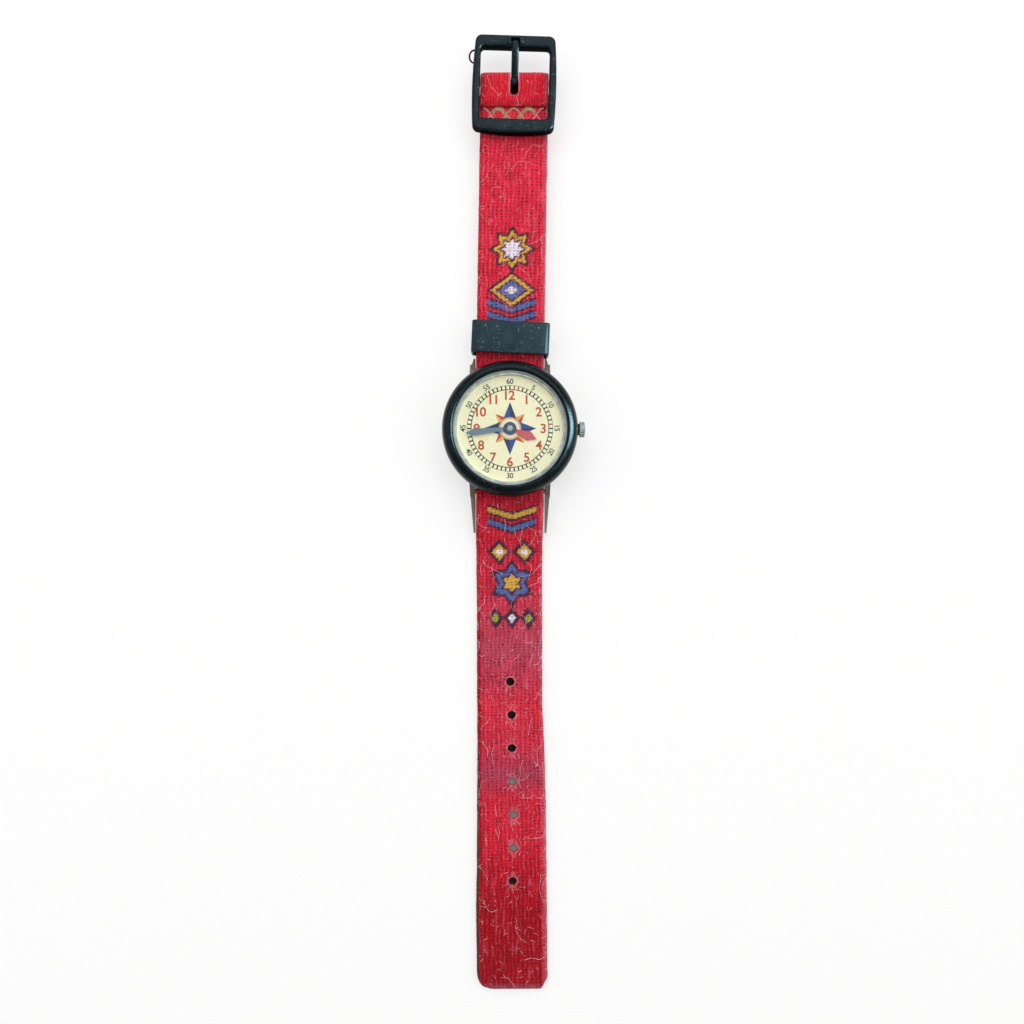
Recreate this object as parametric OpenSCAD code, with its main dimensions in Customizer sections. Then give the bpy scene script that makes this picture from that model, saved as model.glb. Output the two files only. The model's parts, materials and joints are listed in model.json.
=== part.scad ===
// Child's analogue watch on a one-piece textile strap that passes under the case.
// Origin: case axis at the level the watch lies on. +Z out of the dial,
// +Y towards 12 o'clock and the buckle, +X towards the crown.

/* [Strap] */
// Width of the strap
strap_w = 14; // [12:0.1:14.2]
// Thickness of the strap
strap_t = 1.2; // [0.9:0.05:1.3]
// Distance from the case axis to the buckle bar
buckle_reach = 71.6; // [60:0.1:90]
// Distance from the case axis to the strap's tip
tip_reach = 115.2; // [105:0.5:140]
// Sideways lean of the buckle side, in degrees
strap_lean = 0.9; // [0:0.1:1.5]
// Corner radius at the tip
tip_corner_r = 2.4; // [1:0.1:5]
// Number of buckle holes
hole_count = 7; // [5:1:9]
// Diameter of a buckle hole
hole_d = 1.7; // [1:0.1:2.4]
// Spacing of the buckle holes
hole_pitch = 6.87; // [5:0.01:7.5]
// Distance from the case axis to the first hole
first_hole_reach = 51.8; // [48:0.1:58]

/* [Case] */
// Outer diameter of the bezel
bezel_d = 27.3; // [24:0.1:32]
// Width of the bezel's ring seen from above
bezel_w = 2.25; // [2:0.05:2.5]
// Depth of the bezel's skirt below the top of the case rim
bezel_skirt_h = 1.7; // [1:0.1:2.2]
// Thickness of the bezel's skirt
bezel_skirt_t = 0.7; // [0.5:0.05:0.9]
// Inset of the lower drum of the case from the bezel's edge
drum_inset = 3.45; // [3.4:0.05:3.7]
// Height of the lower drum
drum_h = 2.7; // [2.5:0.1:3.2]
// Height of the upper flange of the case
flange_h = 2.7; // [2.6:0.1:3.4]
// Wall of the lower drum round the movement
case_wall = 0.9; // [0.7:0.05:1]
// Thickness of the case back
back_t = 0.8; // [0.5:0.1:1]
// Thickness of the glass
glass_t = 0.7; // [0.5:0.1:1]

/* [Lugs] */
// Inset of a lug bar from the bezel's edge
lug_inset = 1.25; // [1:0.05:1.3]
// Diameter of a lug bar
lug_bar_d = 1.1; // [0.9:0.1:1.2]
// Thickness of a lug
lug_t = 1.05; // [0.8:0.05:1.3]
// Diameter of the rounded end of a lug
lug_nose_d = 2.6; // [2.2:0.1:2.6]
// Length of a lug's horn past the bar on the buckle side
short_horn_l = 2.4; // [1.6:0.1:2.4]
// Length of a lug's horn past the bar on the hole side
long_horn_l = 8.6; // [4:0.1:10]

/* [Dial and hands] */
// Inset of the dial's edge under the bezel's opening
dial_inset = 0.45; // [0.4:0.05:0.6]
// Thickness of the dial
dial_t = 0.4; // [0.3:0.05:0.5]
// Height of the sloped ring round the dial
ring_h = 0.9; // [0.8:0.05:1.2]
// Width of the sloped ring seen from above
ring_w = 0.8; // [0.7:0.05:1.1]
// Length of the minute hand as a share of the dial's radius
minute_hand_share = 0.813; // [0.6:0.001:0.88]
// Length of the hour hand as a share of the dial's radius
hour_hand_share = 0.52; // [0.4:0.001:0.6]
// Time shown, in minutes after twelve
shown_minutes = 224; // [0:1:719]

/* [Crown] */
// Diameter of the crown
crown_d = 3.1; // [2.4:0.05:3.4]
// Length of the crown
crown_l = 1.2; // [1:0.1:2]
// Diameter of the stem
stem_d = 0.7; // [0.6:0.05:0.8]

/* [Keeper] */
// Length of the keeper along the strap
keeper_l = 6.5; // [5:0.1:8]
// Outside width of the keeper
keeper_w = 15.8; // [15.8:0.1:17.5]
// Wall thickness of the keeper
keeper_wall = 0.7; // [0.5:0.05:0.75]
// Turn of the keeper on the strap, in degrees
keeper_turn = 2.6; // [0.5:0.1:2.8]

/* [Buckle] */
// Outside width of the buckle frame
frame_w = 17; // [17:0.1:19]
// Outside length of the buckle frame
frame_l = 19.2; // [18.4:0.1:23]
// Thickness of the buckle frame
frame_t = 2.3; // [1.6:0.1:2.5]
// Width of the side rails
rail_w = 1.5; // [1.3:0.05:1.5]
// Width of the top and bottom bars
cross_w = 2.4; // [1.8:0.1:2.6]
// Distance from the buckle bar to the frame's far edge
frame_nose = 7.9; // [7.6:0.1:9]
// Diameter of the hidden buckle bar
buckle_bar_d = 1.0; // [0.8:0.05:1]
// Width of the tongue
tongue_w = 1.4; // [1:0.1:1.6]
// Turn of the buckle on the strap, in degrees
buckle_turn = 1.8; // [0:0.1:2]

/* [Movement] */
// Wall of the holder ring round the main plate
holder_wall = 0.9; // [0.85:0.05:1]
// Thickness of the main plate
plate_t = 0.6; // [0.5:0.05:0.65]
// Diameter of the battery as a share of the main plate's
battery_share = 0.405; // [0.36:0.005:0.405]
// Thickness of the battery
battery_t = 1.65; // [1.2:0.05:1.65]
// Distance from the centre to the minute wheel's axis as a share of the plate's radius
motion_axis_share = 0.405; // [0.39:0.005:0.42]
// Distance from the centre to the third wheel's axis as a share of the plate's radius
third_axis_share = 0.4714; // [0.465:0.0002:0.485]
// Distance from the third wheel's axis to the rotor's axis as a share of the plate's radius
rotor_axis_share = 0.4286; // [0.42:0.0002:0.435]

/* [Hidden] */
$fn = 64;
// overrun of every cut
over = 0.5;
// clearances: resting faces, running shafts, moulded fits, soft pieces
rest_gap = 0.1;
run_gap = 0.06;
fit_gap = 0.05;
soft_gap = 0.15;

// strap section and route
turn_r = 0.15;
lug_bar_r = lug_bar_d / 2;
lug_bar_reach = bezel_d / 2 - lug_inset;
over_bar_r = lug_bar_r + rest_gap;
lug_bar_z = strap_t + turn_r;
turn_reach = lug_bar_reach - over_bar_r - strap_t - turn_r;
run_z = lug_bar_z + over_bar_r;
swing_gap_angle = 16;
curl_gap = 0.5;
ramp_start = 3;
ramp_l = 10;

// lower strap stretches: ends of the four stretches between the holes
stretch_pitch_shares = [-2.2, 1.5, 4.5];
stretch_ends = concat([lug_bar_reach],
  [for (share = stretch_pitch_shares) first_hole_reach + share * hole_pitch], [tip_reach]);

// buckle fold: under the bar, round its front and back on top
fold_w = frame_w - 2 * rail_w - 4 * soft_gap;
buckle_bar_r = buckle_bar_d / 2;
fold_slack = 0.22;
fold_in_r = buckle_bar_r + fold_slack;
floor_gap = 0.03;
buckle_bar_z = floor_gap + strap_t + fold_in_r;
fold_ramp_l = 6.2;
fold_lead_l = 1.2;
flap_l = 6.3;
flap_gap = 0.1;
slot_w = tongue_w + 4 * soft_gap;
slot_back = 3.8;
slot_front = 0.35;

// case heights
drum_d = bezel_d - 2 * drum_inset;
cavity_d = drum_d - 2 * case_wall;
drum_z = strap_t + rest_gap;
flange_z = drum_z + drum_h;
rim_z = flange_z + flange_h;
dial_seat = 0.2;
dial_z = rim_z - dial_seat;
dial_top = dial_z + dial_t;
glass_z = dial_top + ring_h;
flange_r = bezel_d / 2 - bezel_skirt_t - rest_gap;
bezel_opening_d = bezel_d - 2 * bezel_w;
dial_d = bezel_opening_d - 2 * dial_inset;
ring_d = bezel_opening_d - 2 * ring_w;
bead_r = bezel_w / 2;
bead_reach = bezel_d / 2 - bead_r;
bead_z = rim_z + fit_gap + bead_r;
gasket_t = 0.2;
ring_wall = 0.4;
glass_r = bezel_opening_d / 2 - gasket_t - fit_gap;
back_top = drum_z + back_t;
back_gasket_w = 0.7;
lug_x = strap_w / 2 + soft_gap + lug_t / 2;
lug_root_share = 0.7;
lug_top_drop = 1.8;
short_horn_h = 1.3;
long_horn_h = 1.9;
horn_tip_share = 0.3;

// movement heights
plate_d = cavity_d - 2 * holder_wall;
plate_r = plate_d / 2;
battery_d = battery_share * plate_d;
motion_axis_l = motion_axis_share * plate_r;
third_axis_l = third_axis_share * plate_r;
rotor_axis_l = rotor_axis_share * plate_r;
motion_space = 1;
plate_top = dial_z - motion_space;
plate_z = plate_top - plate_t;
holder_gap = 0.05;
wheel_t = 0.3;
pinion_extra = 0.05;
motion_low_z = plate_top + rest_gap;
motion_high_z = motion_low_z + wheel_t + rest_gap;
centre_wheel_z = plate_z - 2 * wheel_t;
third_disc_t = 0.25;
third_disc_z = centre_wheel_z - rest_gap - wheel_t - soft_gap;
bridge_t = 0.4;
bridge_top = third_disc_z - wheel_t - soft_gap;
bridge_z = bridge_top - bridge_t;
pivot_r = 0.2;
arbor_r = 0.3;
cannon_r = 0.55;
hour_tube_r = 0.9;
board_t = 0.25;
board_z = bridge_z + rest_gap;
battery_z = back_top + rest_gap;
stem_z = plate_z - plate_t / 2 - fit_gap;

// hands
hand_t = 0.15;
hour_hand_z = dial_top + soft_gap;
minute_hand_z = hour_hand_z + hand_t + rest_gap;
cap_t = 0.2;
minute_hub_r = 1.0;
hour_hub_r = 1.3;
minute_hand_l = minute_hand_share * dial_d / 2;
hour_hand_l = hour_hand_share * dial_d / 2;
minute_angle = shown_minutes * 6;
hour_angle = shown_minutes / 2;

// gear teeth, as shares of the module and of the tooth pitch
addendum_share = 0.75;
dedendum_share = 1.05;
tip_share = 0.09;
pitch_share = 0.19;
root_share = 0.24;
cannon_teeth = 12;
minute_wheel_teeth = 36;
minute_pinion_teeth = 10;
hour_teeth = 40;
centre_teeth = 60;
third_pinion_teeth = 6;
third_teeth = 54;
rotor_teeth = 6;
motion_m = 2 * motion_axis_l / (cannon_teeth + minute_wheel_teeth);
hour_m = 2 * motion_axis_l / (minute_pinion_teeth + hour_teeth);
centre_m = 2 * third_axis_l / (centre_teeth + third_pinion_teeth);
rotor_m = 2 * rotor_axis_l / (third_teeth + rotor_teeth);
motion_dir = 60;
third_dir = 200;
rotor_dir = 260;
motion_axis = motion_axis_l * [cos(motion_dir), sin(motion_dir)];
third_axis = third_axis_l * [cos(third_dir), sin(third_dir)];
rotor_axis = third_axis + rotor_axis_l * [cos(rotor_dir), sin(rotor_dir)];

// places in the movement, as shares of the main plate's radius
battery_shares = [0.524, 0.25];
coil_shares = [0.071, -0.762];
can_shares = [-0.238, 0.702];
chip_shares = [-0.619, 0.429];
bridge_screw_shares = [[0.393, -0.405], [-0.869, 0.071]];
board_screw_shares = [[0.012, 0.881], [-0.857, 0.345]];
board_corner_shares = [[-1, 0.274], [0.071, 0.274], [0.071, 1], [-1, 1]];
clip_shares = [0.45, 0.42];
screw_r = 0.3;
screw_head_r = 0.55;
screw_head_t = 0.3;
pillar_r = 0.6;
magnet_share = 0.155;
magnet_r = magnet_share * plate_r;
magnet_t = 0.6;
stator_gap = 0.2;
stator_rim = 0.3;
stator_t = 0.3;
stator_arm_w = 0.7;
coil_share = 0.714;
coil_l = coil_share * plate_r;
coil_r = 0.85;
core_r = 0.3;
coil_z = plate_z - coil_r - fit_gap;
core_end_l = 0.8;
can_share = 0.571;
can_l = can_share * plate_r;
can_r = 0.75;
chip_share = 0.238;
chip_w = chip_share * plate_r;
chip_t = 0.5;
clip_l_share = 0.643;
clip_l = clip_l_share * plate_r;
clip_w_share = 0.19;
clip_w = clip_w_share * plate_r;
clip_t = 0.15;
bridge_pad_r = 1;
bridge_arm_w = 1.2;

// crown and stem places along X
collar_l = 0.7;
collar_r = 1.15;
crown_gap = 0.4;
crown_x = bezel_d / 2 + crown_gap;
stem_end_share = 0.518;
stem_end_x = stem_end_share * plate_r;
groove_share = 0.84;
groove_x = groove_share * plate_r;
groove_w = 0.45;
groove_r = 0.2;
clutch_share = 0.595;
clutch_x = clutch_share * plate_r;
clutch_l = 1.2;
clutch_r = 0.65;
pull_l = 1.6;
pull_t = 0.4;
flute_count = 22;
flute_r = 0.16;
dome_share = 1.6;

// keeper and buckle places
keeper_gap = 0.6;
keeper_slack = 1.5;
keeper_h = 2 * strap_t + keeper_slack + 2 * keeper_wall;
keeper_reach = lug_bar_reach + short_horn_l + keeper_gap + keeper_l / 2;
keeper_corner_r = 0.8;
frame_z = run_z + strap_t + soft_gap;
frame_corner_r = 1.3;
window_corner_r = 0.8;
frame_bow = 0.5;
ear_r = 1.05;
notch_w = tongue_w + 2 * soft_gap;
notch_floor = frame_t / 2;
shoulder_w = 0.9;
shoulder_h = 0.3;
tongue_t = 0.8;
tongue_eye_wall = 0.55;
tongue_eye_r = buckle_bar_r + run_gap + tongue_eye_wall;
tongue_root_share = 0.9;
tongue_rise_share = 0.66;
stitch_t = 0.12;
stitch_w = 0.35;
stitch_count = 4;
stitch_band = 2.4;
stitch_reach = 7.6;
loop_r = 1.85;
loop_wire_r = 0.15;
loop_reach = 4;
loop_tilt = 55;

// sideways offset of the leaned buckle side at a distance from the case axis
function lean_x(reach) = (reach - lug_bar_reach) * tan(strap_lean);
function place(shares) = [shares[0] * plate_r, shares[1] * plate_r];

// extrude a profile drawn in Y and Z across the width
module across(width) rotate([90, 0, 90]) linear_extrude(height = width, center = true) children();

// extrude a profile drawn from above between two heights
module rise(low, high) translate([0, 0, low]) linear_extrude(height = high - low) children();

// flat ring
module ring(r_out, r_in, low, high) rise(low, high) difference() {
  circle(r_out);
  circle(r_in);
}

// ring sector between two angles, drawn flat
module sector(r_in, r_out, from, to) intersection() {
  difference() {
    circle(r_out);
    circle(r_in);
  }
  polygon(concat([[0, 0]], [for (i = [0:4])
    2 * r_out * [cos(from + (to - from) * i / 4), sin(from + (to - from) * i / 4)]]));
}

// rectangle with round corners, drawn flat and centred
module round_rect(w, h, r) {
  square([w - 2 * r, h], center = true);
  square([w, h - 2 * r], center = true);
  for (x = [-1, 1], y = [-1, 1]) translate([x * (w / 2 - r), y * (h / 2 - r)]) circle(r);
}

// spur gear outline with a tooth pointing along +X before the turn
module gear(teeth, size, turn) {
  pitch_r = teeth * size / 2;
  tip_r = pitch_r + addendum_share * size;
  root_r = pitch_r - dedendum_share * size;
  step = 360 / teeth;
  rows = [[root_r, -root_share], [pitch_r, -pitch_share], [tip_r, -tip_share],
    [tip_r, tip_share], [pitch_r, pitch_share], [root_r, root_share]];
  rotate(turn) polygon([for (i = [0:teeth - 1], row = rows)
    row[0] * [cos((i + row[1]) * step), sin((i + row[1]) * step)]]);
}

// case
module case_body() color("#5a4c44") difference() {
  union() {
    translate([0, 0, drum_z]) cylinder(d = drum_d, h = drum_h + fit_gap);
    translate([0, 0, flange_z]) cylinder(r = flange_r, h = flange_h);
    for (side = [0, 1]) mirror([side, 0, 0]) {
      lug(short_horn_l, short_horn_h);
      mirror([0, 1, 0]) lug(long_horn_l, long_horn_h);
    }
  }
  translate([0, 0, drum_z - over]) cylinder(d = cavity_d, h = dial_z - drum_z + over + fit_gap);
  translate([0, 0, dial_z]) cylinder(d = dial_d + 2 * fit_gap, h = dial_seat + over);
  translate([0, 0, stem_z]) rotate([0, 90, 0]) cylinder(d = stem_d + 2 * run_gap, h = bezel_d);
  for (y = [-1, 1]) translate([0, y * lug_bar_reach, lug_bar_z]) rotate([0, 90, 0])
    cylinder(d = lug_bar_d, h = bezel_d, center = true);
}

// one lug: a flat ear from the flange down to the bar, with a horn tapering along the strap's edge
module lug(horn_l, horn_h) {
  translate([lug_x, 0, 0]) across(lug_t) {
    translate([lug_bar_reach, lug_bar_z]) circle(d = lug_nose_d);
    polygon([[flange_r * lug_root_share, flange_z], [flange_r * lug_root_share, rim_z - lug_top_drop],
      [lug_bar_reach - lug_nose_d / 2, rim_z - lug_top_drop],
      [lug_bar_reach + lug_nose_d / 2, lug_bar_z], [lug_bar_reach - lug_nose_d / 2, lug_bar_z]]);
  }
  translate([lug_x - lug_t / 2, lug_bar_reach, 0]) rise(lug_bar_z - horn_h / 2, lug_bar_z + horn_h / 2)
    polygon([[0, 0], [lug_t, 0], [lug_t * horn_tip_share, horn_l], [0, horn_l]]);
}

module bezel() color("#101214") difference() {
  rotate_extrude() {
    translate([bead_reach, bead_z]) circle(bead_r);
    translate([bezel_d / 2 - bezel_skirt_t, rim_z - bezel_skirt_h])
      square([bezel_skirt_t, bezel_skirt_h + fit_gap + bead_r]);
  }
  translate([0, 0, stem_z]) rotate([0, 90, 0]) cylinder(r = collar_r + rest_gap, h = bezel_d);
}

module crystal() color("#dfe8ea", 0.3) translate([0, 0, glass_z]) cylinder(r = glass_r, h = glass_t);

module crystal_gasket() color("#2a2c2e")
  ring(glass_r + gasket_t, glass_r, glass_z, glass_z + glass_t - rest_gap);

module dial_ring() color("#8f9496") rotate_extrude() polygon([[ring_d / 2, dial_top],
  [glass_r + gasket_t, dial_top], [glass_r + gasket_t, glass_z], [glass_r - ring_wall, glass_z]]);

module dial() color("#efe3a8") ring(dial_d / 2, hour_tube_r + rest_gap, dial_z, dial_top);

module case_back() color("#9ba0a3")
  translate([0, 0, drum_z]) cylinder(d = cavity_d - 2 * fit_gap, h = back_t);

module case_back_gasket() color("#1c1c1c")
  ring(cavity_d / 2 - fit_gap, cavity_d / 2 - back_gasket_w, back_top, back_top + gasket_t);

module lug_bars() color("#8c9093") for (y = [-1, 1]) translate([0, y * lug_bar_reach, lug_bar_z])
  rotate([0, 90, 0]) cylinder(d = lug_bar_d, h = 2 * lug_x + lug_t, center = true);

// movement
module movement_holder() color("#d8d8d2") difference() {
  ring(cavity_d / 2 - holder_gap, plate_r + holder_gap, back_top + gasket_t, dial_z);
  translate([0, 0, stem_z]) rotate([0, 90, 0]) cylinder(d = stem_d + 4 * run_gap, h = cavity_d);
}

module main_plate() color("#c8a860") difference() {
  union() {
    translate([0, 0, plate_z]) cylinder(r = plate_r, h = plate_t);
    for (site = bridge_screw_shares) translate(place(site)) ring(pillar_r, screw_r, bridge_top, plate_z);
    for (site = board_screw_shares) translate(place(site))
      ring(pillar_r, screw_r, board_z + board_t, plate_z);
  }
  translate([0, 0, plate_z - over]) cylinder(r = arbor_r + run_gap, h = plate_t + 2 * over);
  for (axis = [motion_axis, third_axis, rotor_axis]) translate([axis[0], axis[1], plate_z - over])
    cylinder(r = pivot_r + run_gap, h = plate_t + 2 * over);
  for (site = concat(bridge_screw_shares, board_screw_shares)) translate(place(site))
    translate([0, 0, plate_z - over]) cylinder(r = screw_r, h = plate_t + 2 * over);
  translate([clutch_x - clutch_l / 2, -clutch_r - soft_gap, plate_z - over])
    cube([3 * clutch_l, 2 * (clutch_r + soft_gap), plate_t + 2 * over]);
}

// straight arm between two points, drawn flat
module arm(from, to, width) translate(from) rotate(atan2(to[1] - from[1], to[0] - from[0]))
  translate([0, -width / 2]) square([norm(to - from), width]);

module train_bridge() color("#b89a58") rise(bridge_z, bridge_top) difference() {
  union() {
    for (axis = [[0, 0], third_axis, rotor_axis]) translate(axis) circle(bridge_pad_r);
    for (site = bridge_screw_shares) translate(place(site)) circle(bridge_pad_r);
    arm(place(bridge_screw_shares[0]), [0, 0], bridge_arm_w);
    arm([0, 0], third_axis, bridge_arm_w);
    arm(third_axis, rotor_axis, bridge_arm_w);
    arm(third_axis, place(bridge_screw_shares[1]), bridge_arm_w);
  }
  circle(arbor_r + run_gap);
  for (axis = [third_axis, rotor_axis]) translate(axis) circle(pivot_r + run_gap);
  for (site = bridge_screw_shares) translate(place(site)) circle(screw_r + fit_gap);
}

module circuit_board() color("#2f6b4a") rise(board_z, board_z + board_t) difference() {
  intersection() {
    circle(plate_r - soft_gap);
    polygon([for (corner = board_corner_shares) place(corner)]);
  }
  translate(place(battery_shares)) circle(battery_d / 2 + soft_gap);
  for (site = board_screw_shares) translate(place(site)) circle(screw_r + fit_gap);
}

module quartz_can() color("#b8bcc0") translate(place(can_shares))
  translate([0, 0, board_z + board_t + can_r]) rotate([0, 90, 0])
    cylinder(r = can_r, h = can_l, center = true);

module circuit_chip() color("#1a1a1c") translate(place(chip_shares))
  translate([0, 0, board_z + board_t + chip_t / 2]) cube([chip_w, chip_w, chip_t], center = true);

module coil() color("#b06a30") translate(place(coil_shares)) translate([0, 0, coil_z]) rotate([0, 90, 0])
  difference() {
    cylinder(r = coil_r, h = coil_l, center = true);
    cylinder(r = core_r + fit_gap, h = coil_l + 2 * over, center = true);
  }

module stator() color("#7c8084") {
  coil_at = place(coil_shares);
  ends = [for (side = [-1, 1]) coil_at + [side * (coil_l / 2 + core_end_l / 2 + fit_gap), 0]];
  arm_y = coil_at[1] + coil_r + stator_arm_w;
  stator_z = centre_wheel_z;
  translate([coil_at[0], coil_at[1], coil_z]) rotate([0, 90, 0])
    cylinder(r = core_r, h = coil_l + core_end_l, center = true);
  for (end = ends) translate([end[0], end[1], 0]) rise(coil_z - core_r, stator_z + stator_t)
    square(core_end_l, center = true);
  rise(stator_z, stator_z + stator_t) difference() {
    union() {
      translate(rotor_axis) circle(magnet_r + stator_gap + stator_rim);
      arm(rotor_axis, ends[0], stator_arm_w);
      arm([rotor_axis[0], arm_y], [ends[1][0], arm_y], stator_arm_w);
      arm([ends[1][0], arm_y + stator_arm_w / 2], ends[1], stator_arm_w);
    }
    translate(rotor_axis) circle(magnet_r + stator_gap);
  }
}

module battery() color("#c9ccce") translate(place(battery_shares)) translate([0, 0, battery_z])
  cylinder(d = battery_d, h = battery_t);

module battery_clip() color("#a8a070") translate(place(clip_shares)) {
  clip_z = battery_z + battery_t + clip_t / 2;
  translate([0, 0, clip_z]) cube([clip_l, clip_w, clip_t], center = true);
  translate([-clip_l / 2 + clip_w / 2, clip_w, 0]) rise(clip_z - clip_t / 2, plate_z)
    square([clip_w, clip_t], center = true);
  translate([-clip_l / 2 + clip_w / 2, clip_w / 2, clip_z]) cube([clip_w, 2 * clip_w, clip_t], center = true);
}

module screw(seat_z) {
  translate([0, 0, seat_z - screw_head_t]) cylinder(r = screw_head_r, h = screw_head_t);
  translate([0, 0, seat_z - screw_head_t]) cylinder(r = screw_r, h = plate_top - seat_z);
}

module movement_screws() color("#70757a") {
  for (site = bridge_screw_shares) translate(place(site)) screw(bridge_z);
  for (site = board_screw_shares) translate(place(site)) screw(board_z);
}

// train and motion work
module centre_wheel() color("#d0b060") {
  rise(centre_wheel_z, centre_wheel_z + wheel_t) gear(centre_teeth, centre_m, third_dir);
  rise(bridge_z, minute_hand_z + hand_t) circle(arbor_r);
}

module cannon_pinion() color("#d0b060") {
  rise(motion_low_z, motion_low_z + wheel_t) difference() {
    gear(cannon_teeth, motion_m, motion_dir);
    circle(arbor_r);
  }
  ring(cannon_r, arbor_r, motion_low_z, minute_hand_z + hand_t);
}

module minute_wheel() color("#d0b060") translate(motion_axis) {
  rise(motion_low_z, motion_low_z + wheel_t)
    gear(minute_wheel_teeth, motion_m, motion_dir + 180 + 180 / minute_wheel_teeth);
  rise(motion_high_z, motion_high_z + wheel_t)
    gear(minute_pinion_teeth, hour_m, motion_dir + 180 + 180 / minute_pinion_teeth);
  rise(plate_z, motion_high_z + wheel_t) circle(pivot_r);
}

module hour_wheel() color("#d0b060") {
  rise(motion_high_z, motion_high_z + wheel_t) difference() {
    gear(hour_teeth, hour_m, motion_dir);
    circle(cannon_r + run_gap);
  }
  ring(hour_tube_r, cannon_r + run_gap, motion_high_z, hour_hand_z + hand_t);
}

module third_wheel() color("#d0b060") translate(third_axis) {
  rise(third_disc_z, third_disc_z + third_disc_t) gear(third_teeth, rotor_m, rotor_dir);
  rise(centre_wheel_z - pinion_extra, centre_wheel_z + wheel_t + pinion_extra)
    gear(third_pinion_teeth, centre_m, third_dir + 180 + 180 / third_pinion_teeth);
  rise(bridge_z, plate_top) circle(pivot_r);
}

module rotor() color("#55585c") translate(rotor_axis) {
  rise(third_disc_z - pinion_extra, third_disc_z + third_disc_t + pinion_extra)
    gear(rotor_teeth, rotor_m, rotor_dir + 180 + 180 / rotor_teeth);
  rise(centre_wheel_z - soft_gap, centre_wheel_z - soft_gap + magnet_t) circle(magnet_r);
  rise(bridge_z, plate_top) circle(pivot_r);
}

// hand outlines: widths and places as shares of the hand's length
minute_hand_shares = [[0, 0.03], [0.3, 0.045], [0.82, 0.075], [1, 0]];
hour_hand_shares = [[0, 0.05], [0.3, 0.07], [0.72, 0.17], [1, 0]];
module hand(length, shares, hub_r, bore_r, low, angle) rotate(-angle) difference() {
  union() {
    rise(low, low + hand_t) polygon(concat([for (row = shares) length * [-row[1], row[0]]],
      [for (i = [len(shares) - 2:-1:0]) length * [shares[i][1], shares[i][0]]]));
    rise(low, low + hand_t) circle(hub_r);
  }
  rise(low - over, low + hand_t + over) circle(bore_r);
}

module minute_hand() color("#5f7894")
  hand(minute_hand_l, minute_hand_shares, minute_hub_r, cannon_r, minute_hand_z, minute_angle);

module hour_hand() color("#c23a2c")
  hand(hour_hand_l, hour_hand_shares, hour_hub_r, hour_tube_r, hour_hand_z, hour_angle);

module hand_cap() color("#c8c4b8")
  translate([0, 0, minute_hand_z + hand_t]) cylinder(r = cannon_r, h = cap_t);

// crown and setting work, built along +X
module at_stem(x) translate([x, 0, stem_z]) rotate([0, 90, 0]) children();

module pull_piece() color("#8a8e92")
  translate([groove_x - pull_t / 2, -pull_l - groove_r - fit_gap, stem_z - groove_r])
    cube([pull_t, pull_l, 2 * groove_r]);

module stem() color("#9a9ea2") difference() {
  at_stem(stem_end_x) cylinder(d = stem_d, h = crown_x - stem_end_x);
  at_stem(groove_x - groove_w / 2) difference() {
    cylinder(d = stem_d + 2 * over, h = groove_w);
    translate([0, 0, -over]) cylinder(r = groove_r, h = groove_w + 2 * over);
  }
}

module clutch_wheel() color("#b0a070") at_stem(clutch_x) difference() {
  cylinder(r = clutch_r, h = clutch_l);
  translate([0, 0, -over]) cylinder(d = stem_d, h = clutch_l + 2 * over);
}

module crown_gasket() color("#141414") at_stem(crown_x - collar_l) difference() {
  cylinder(r = collar_r, h = collar_l);
  translate([0, 0, -over]) cylinder(d = stem_d, h = collar_l + 2 * over);
}

module crown() color("#8b8d84") at_stem(crown_x) difference() {
  intersection() {
    cylinder(d = crown_d, h = crown_l);
    translate([0, 0, crown_l - dome_share * crown_d]) sphere(dome_share * crown_d);
  }
  for (i = [0:flute_count - 1]) rotate(i * 360 / flute_count) translate([crown_d / 2 + flute_r / 2, 0, -over])
    cylinder(r = flute_r, h = crown_l + 2 * over);
}

// strap
module centre_profile() {
  translate([-turn_reach, 0]) square([2 * turn_reach, strap_t]);
  for (end = [0, 1]) mirror([end, 0]) translate([turn_reach, lug_bar_z])
    sector(turn_r, turn_r + strap_t, -90, 0);
}

module over_bar_profile() translate([lug_bar_reach, lug_bar_z])
  sector(over_bar_r, over_bar_r + strap_t, 90, 180 - swing_gap_angle);

module strap_centre() color("#c8202c") across(strap_w) centre_profile();

// buckle side: over the bar, along the run, under the buckle bar, round it and back on top
module fold_profile() translate([buckle_reach, 0]) {
  flap_z = run_z + strap_t + flap_gap;
  under_z = buckle_bar_z - fold_in_r - strap_t;
  polygon([[-fold_ramp_l - fold_lead_l, run_z], [-fold_ramp_l, run_z], [0, under_z],
    [0, under_z + strap_t], [-fold_ramp_l, run_z + strap_t], [-fold_ramp_l - fold_lead_l, run_z + strap_t]]);
  translate([0, buckle_bar_z]) sector(fold_in_r, fold_in_r + strap_t, -90, 90);
  polygon([[0, buckle_bar_z + fold_in_r], [0, buckle_bar_z + fold_in_r + strap_t],
    [-flap_l, flap_z + strap_t], [-flap_l, flap_z]]);
}

module upper_strap() color("#c8202c") {
  run_end = buckle_reach - fold_ramp_l - fold_lead_l / 2;
  across(strap_w) over_bar_profile();
  rise(run_z, run_z + strap_t) polygon([
    [-strap_w / 2, lug_bar_reach], [strap_w / 2, lug_bar_reach],
    [lean_x(run_end) + strap_w / 2, run_end], [lean_x(run_end) - strap_w / 2, run_end]]);
  translate([lean_x(buckle_reach), 0, 0]) difference() {
    across(fold_w) fold_profile();
    translate([-slot_w / 2, buckle_reach - slot_back, buckle_bar_z - tongue_eye_r - soft_gap])
      cube([slot_w, slot_back + fold_ramp_l, 2 * frame_z]);
    translate([-slot_w / 2, buckle_reach + slot_front, -over]) cube([slot_w, fold_ramp_l, 2 * frame_z]);
  }
}

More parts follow.
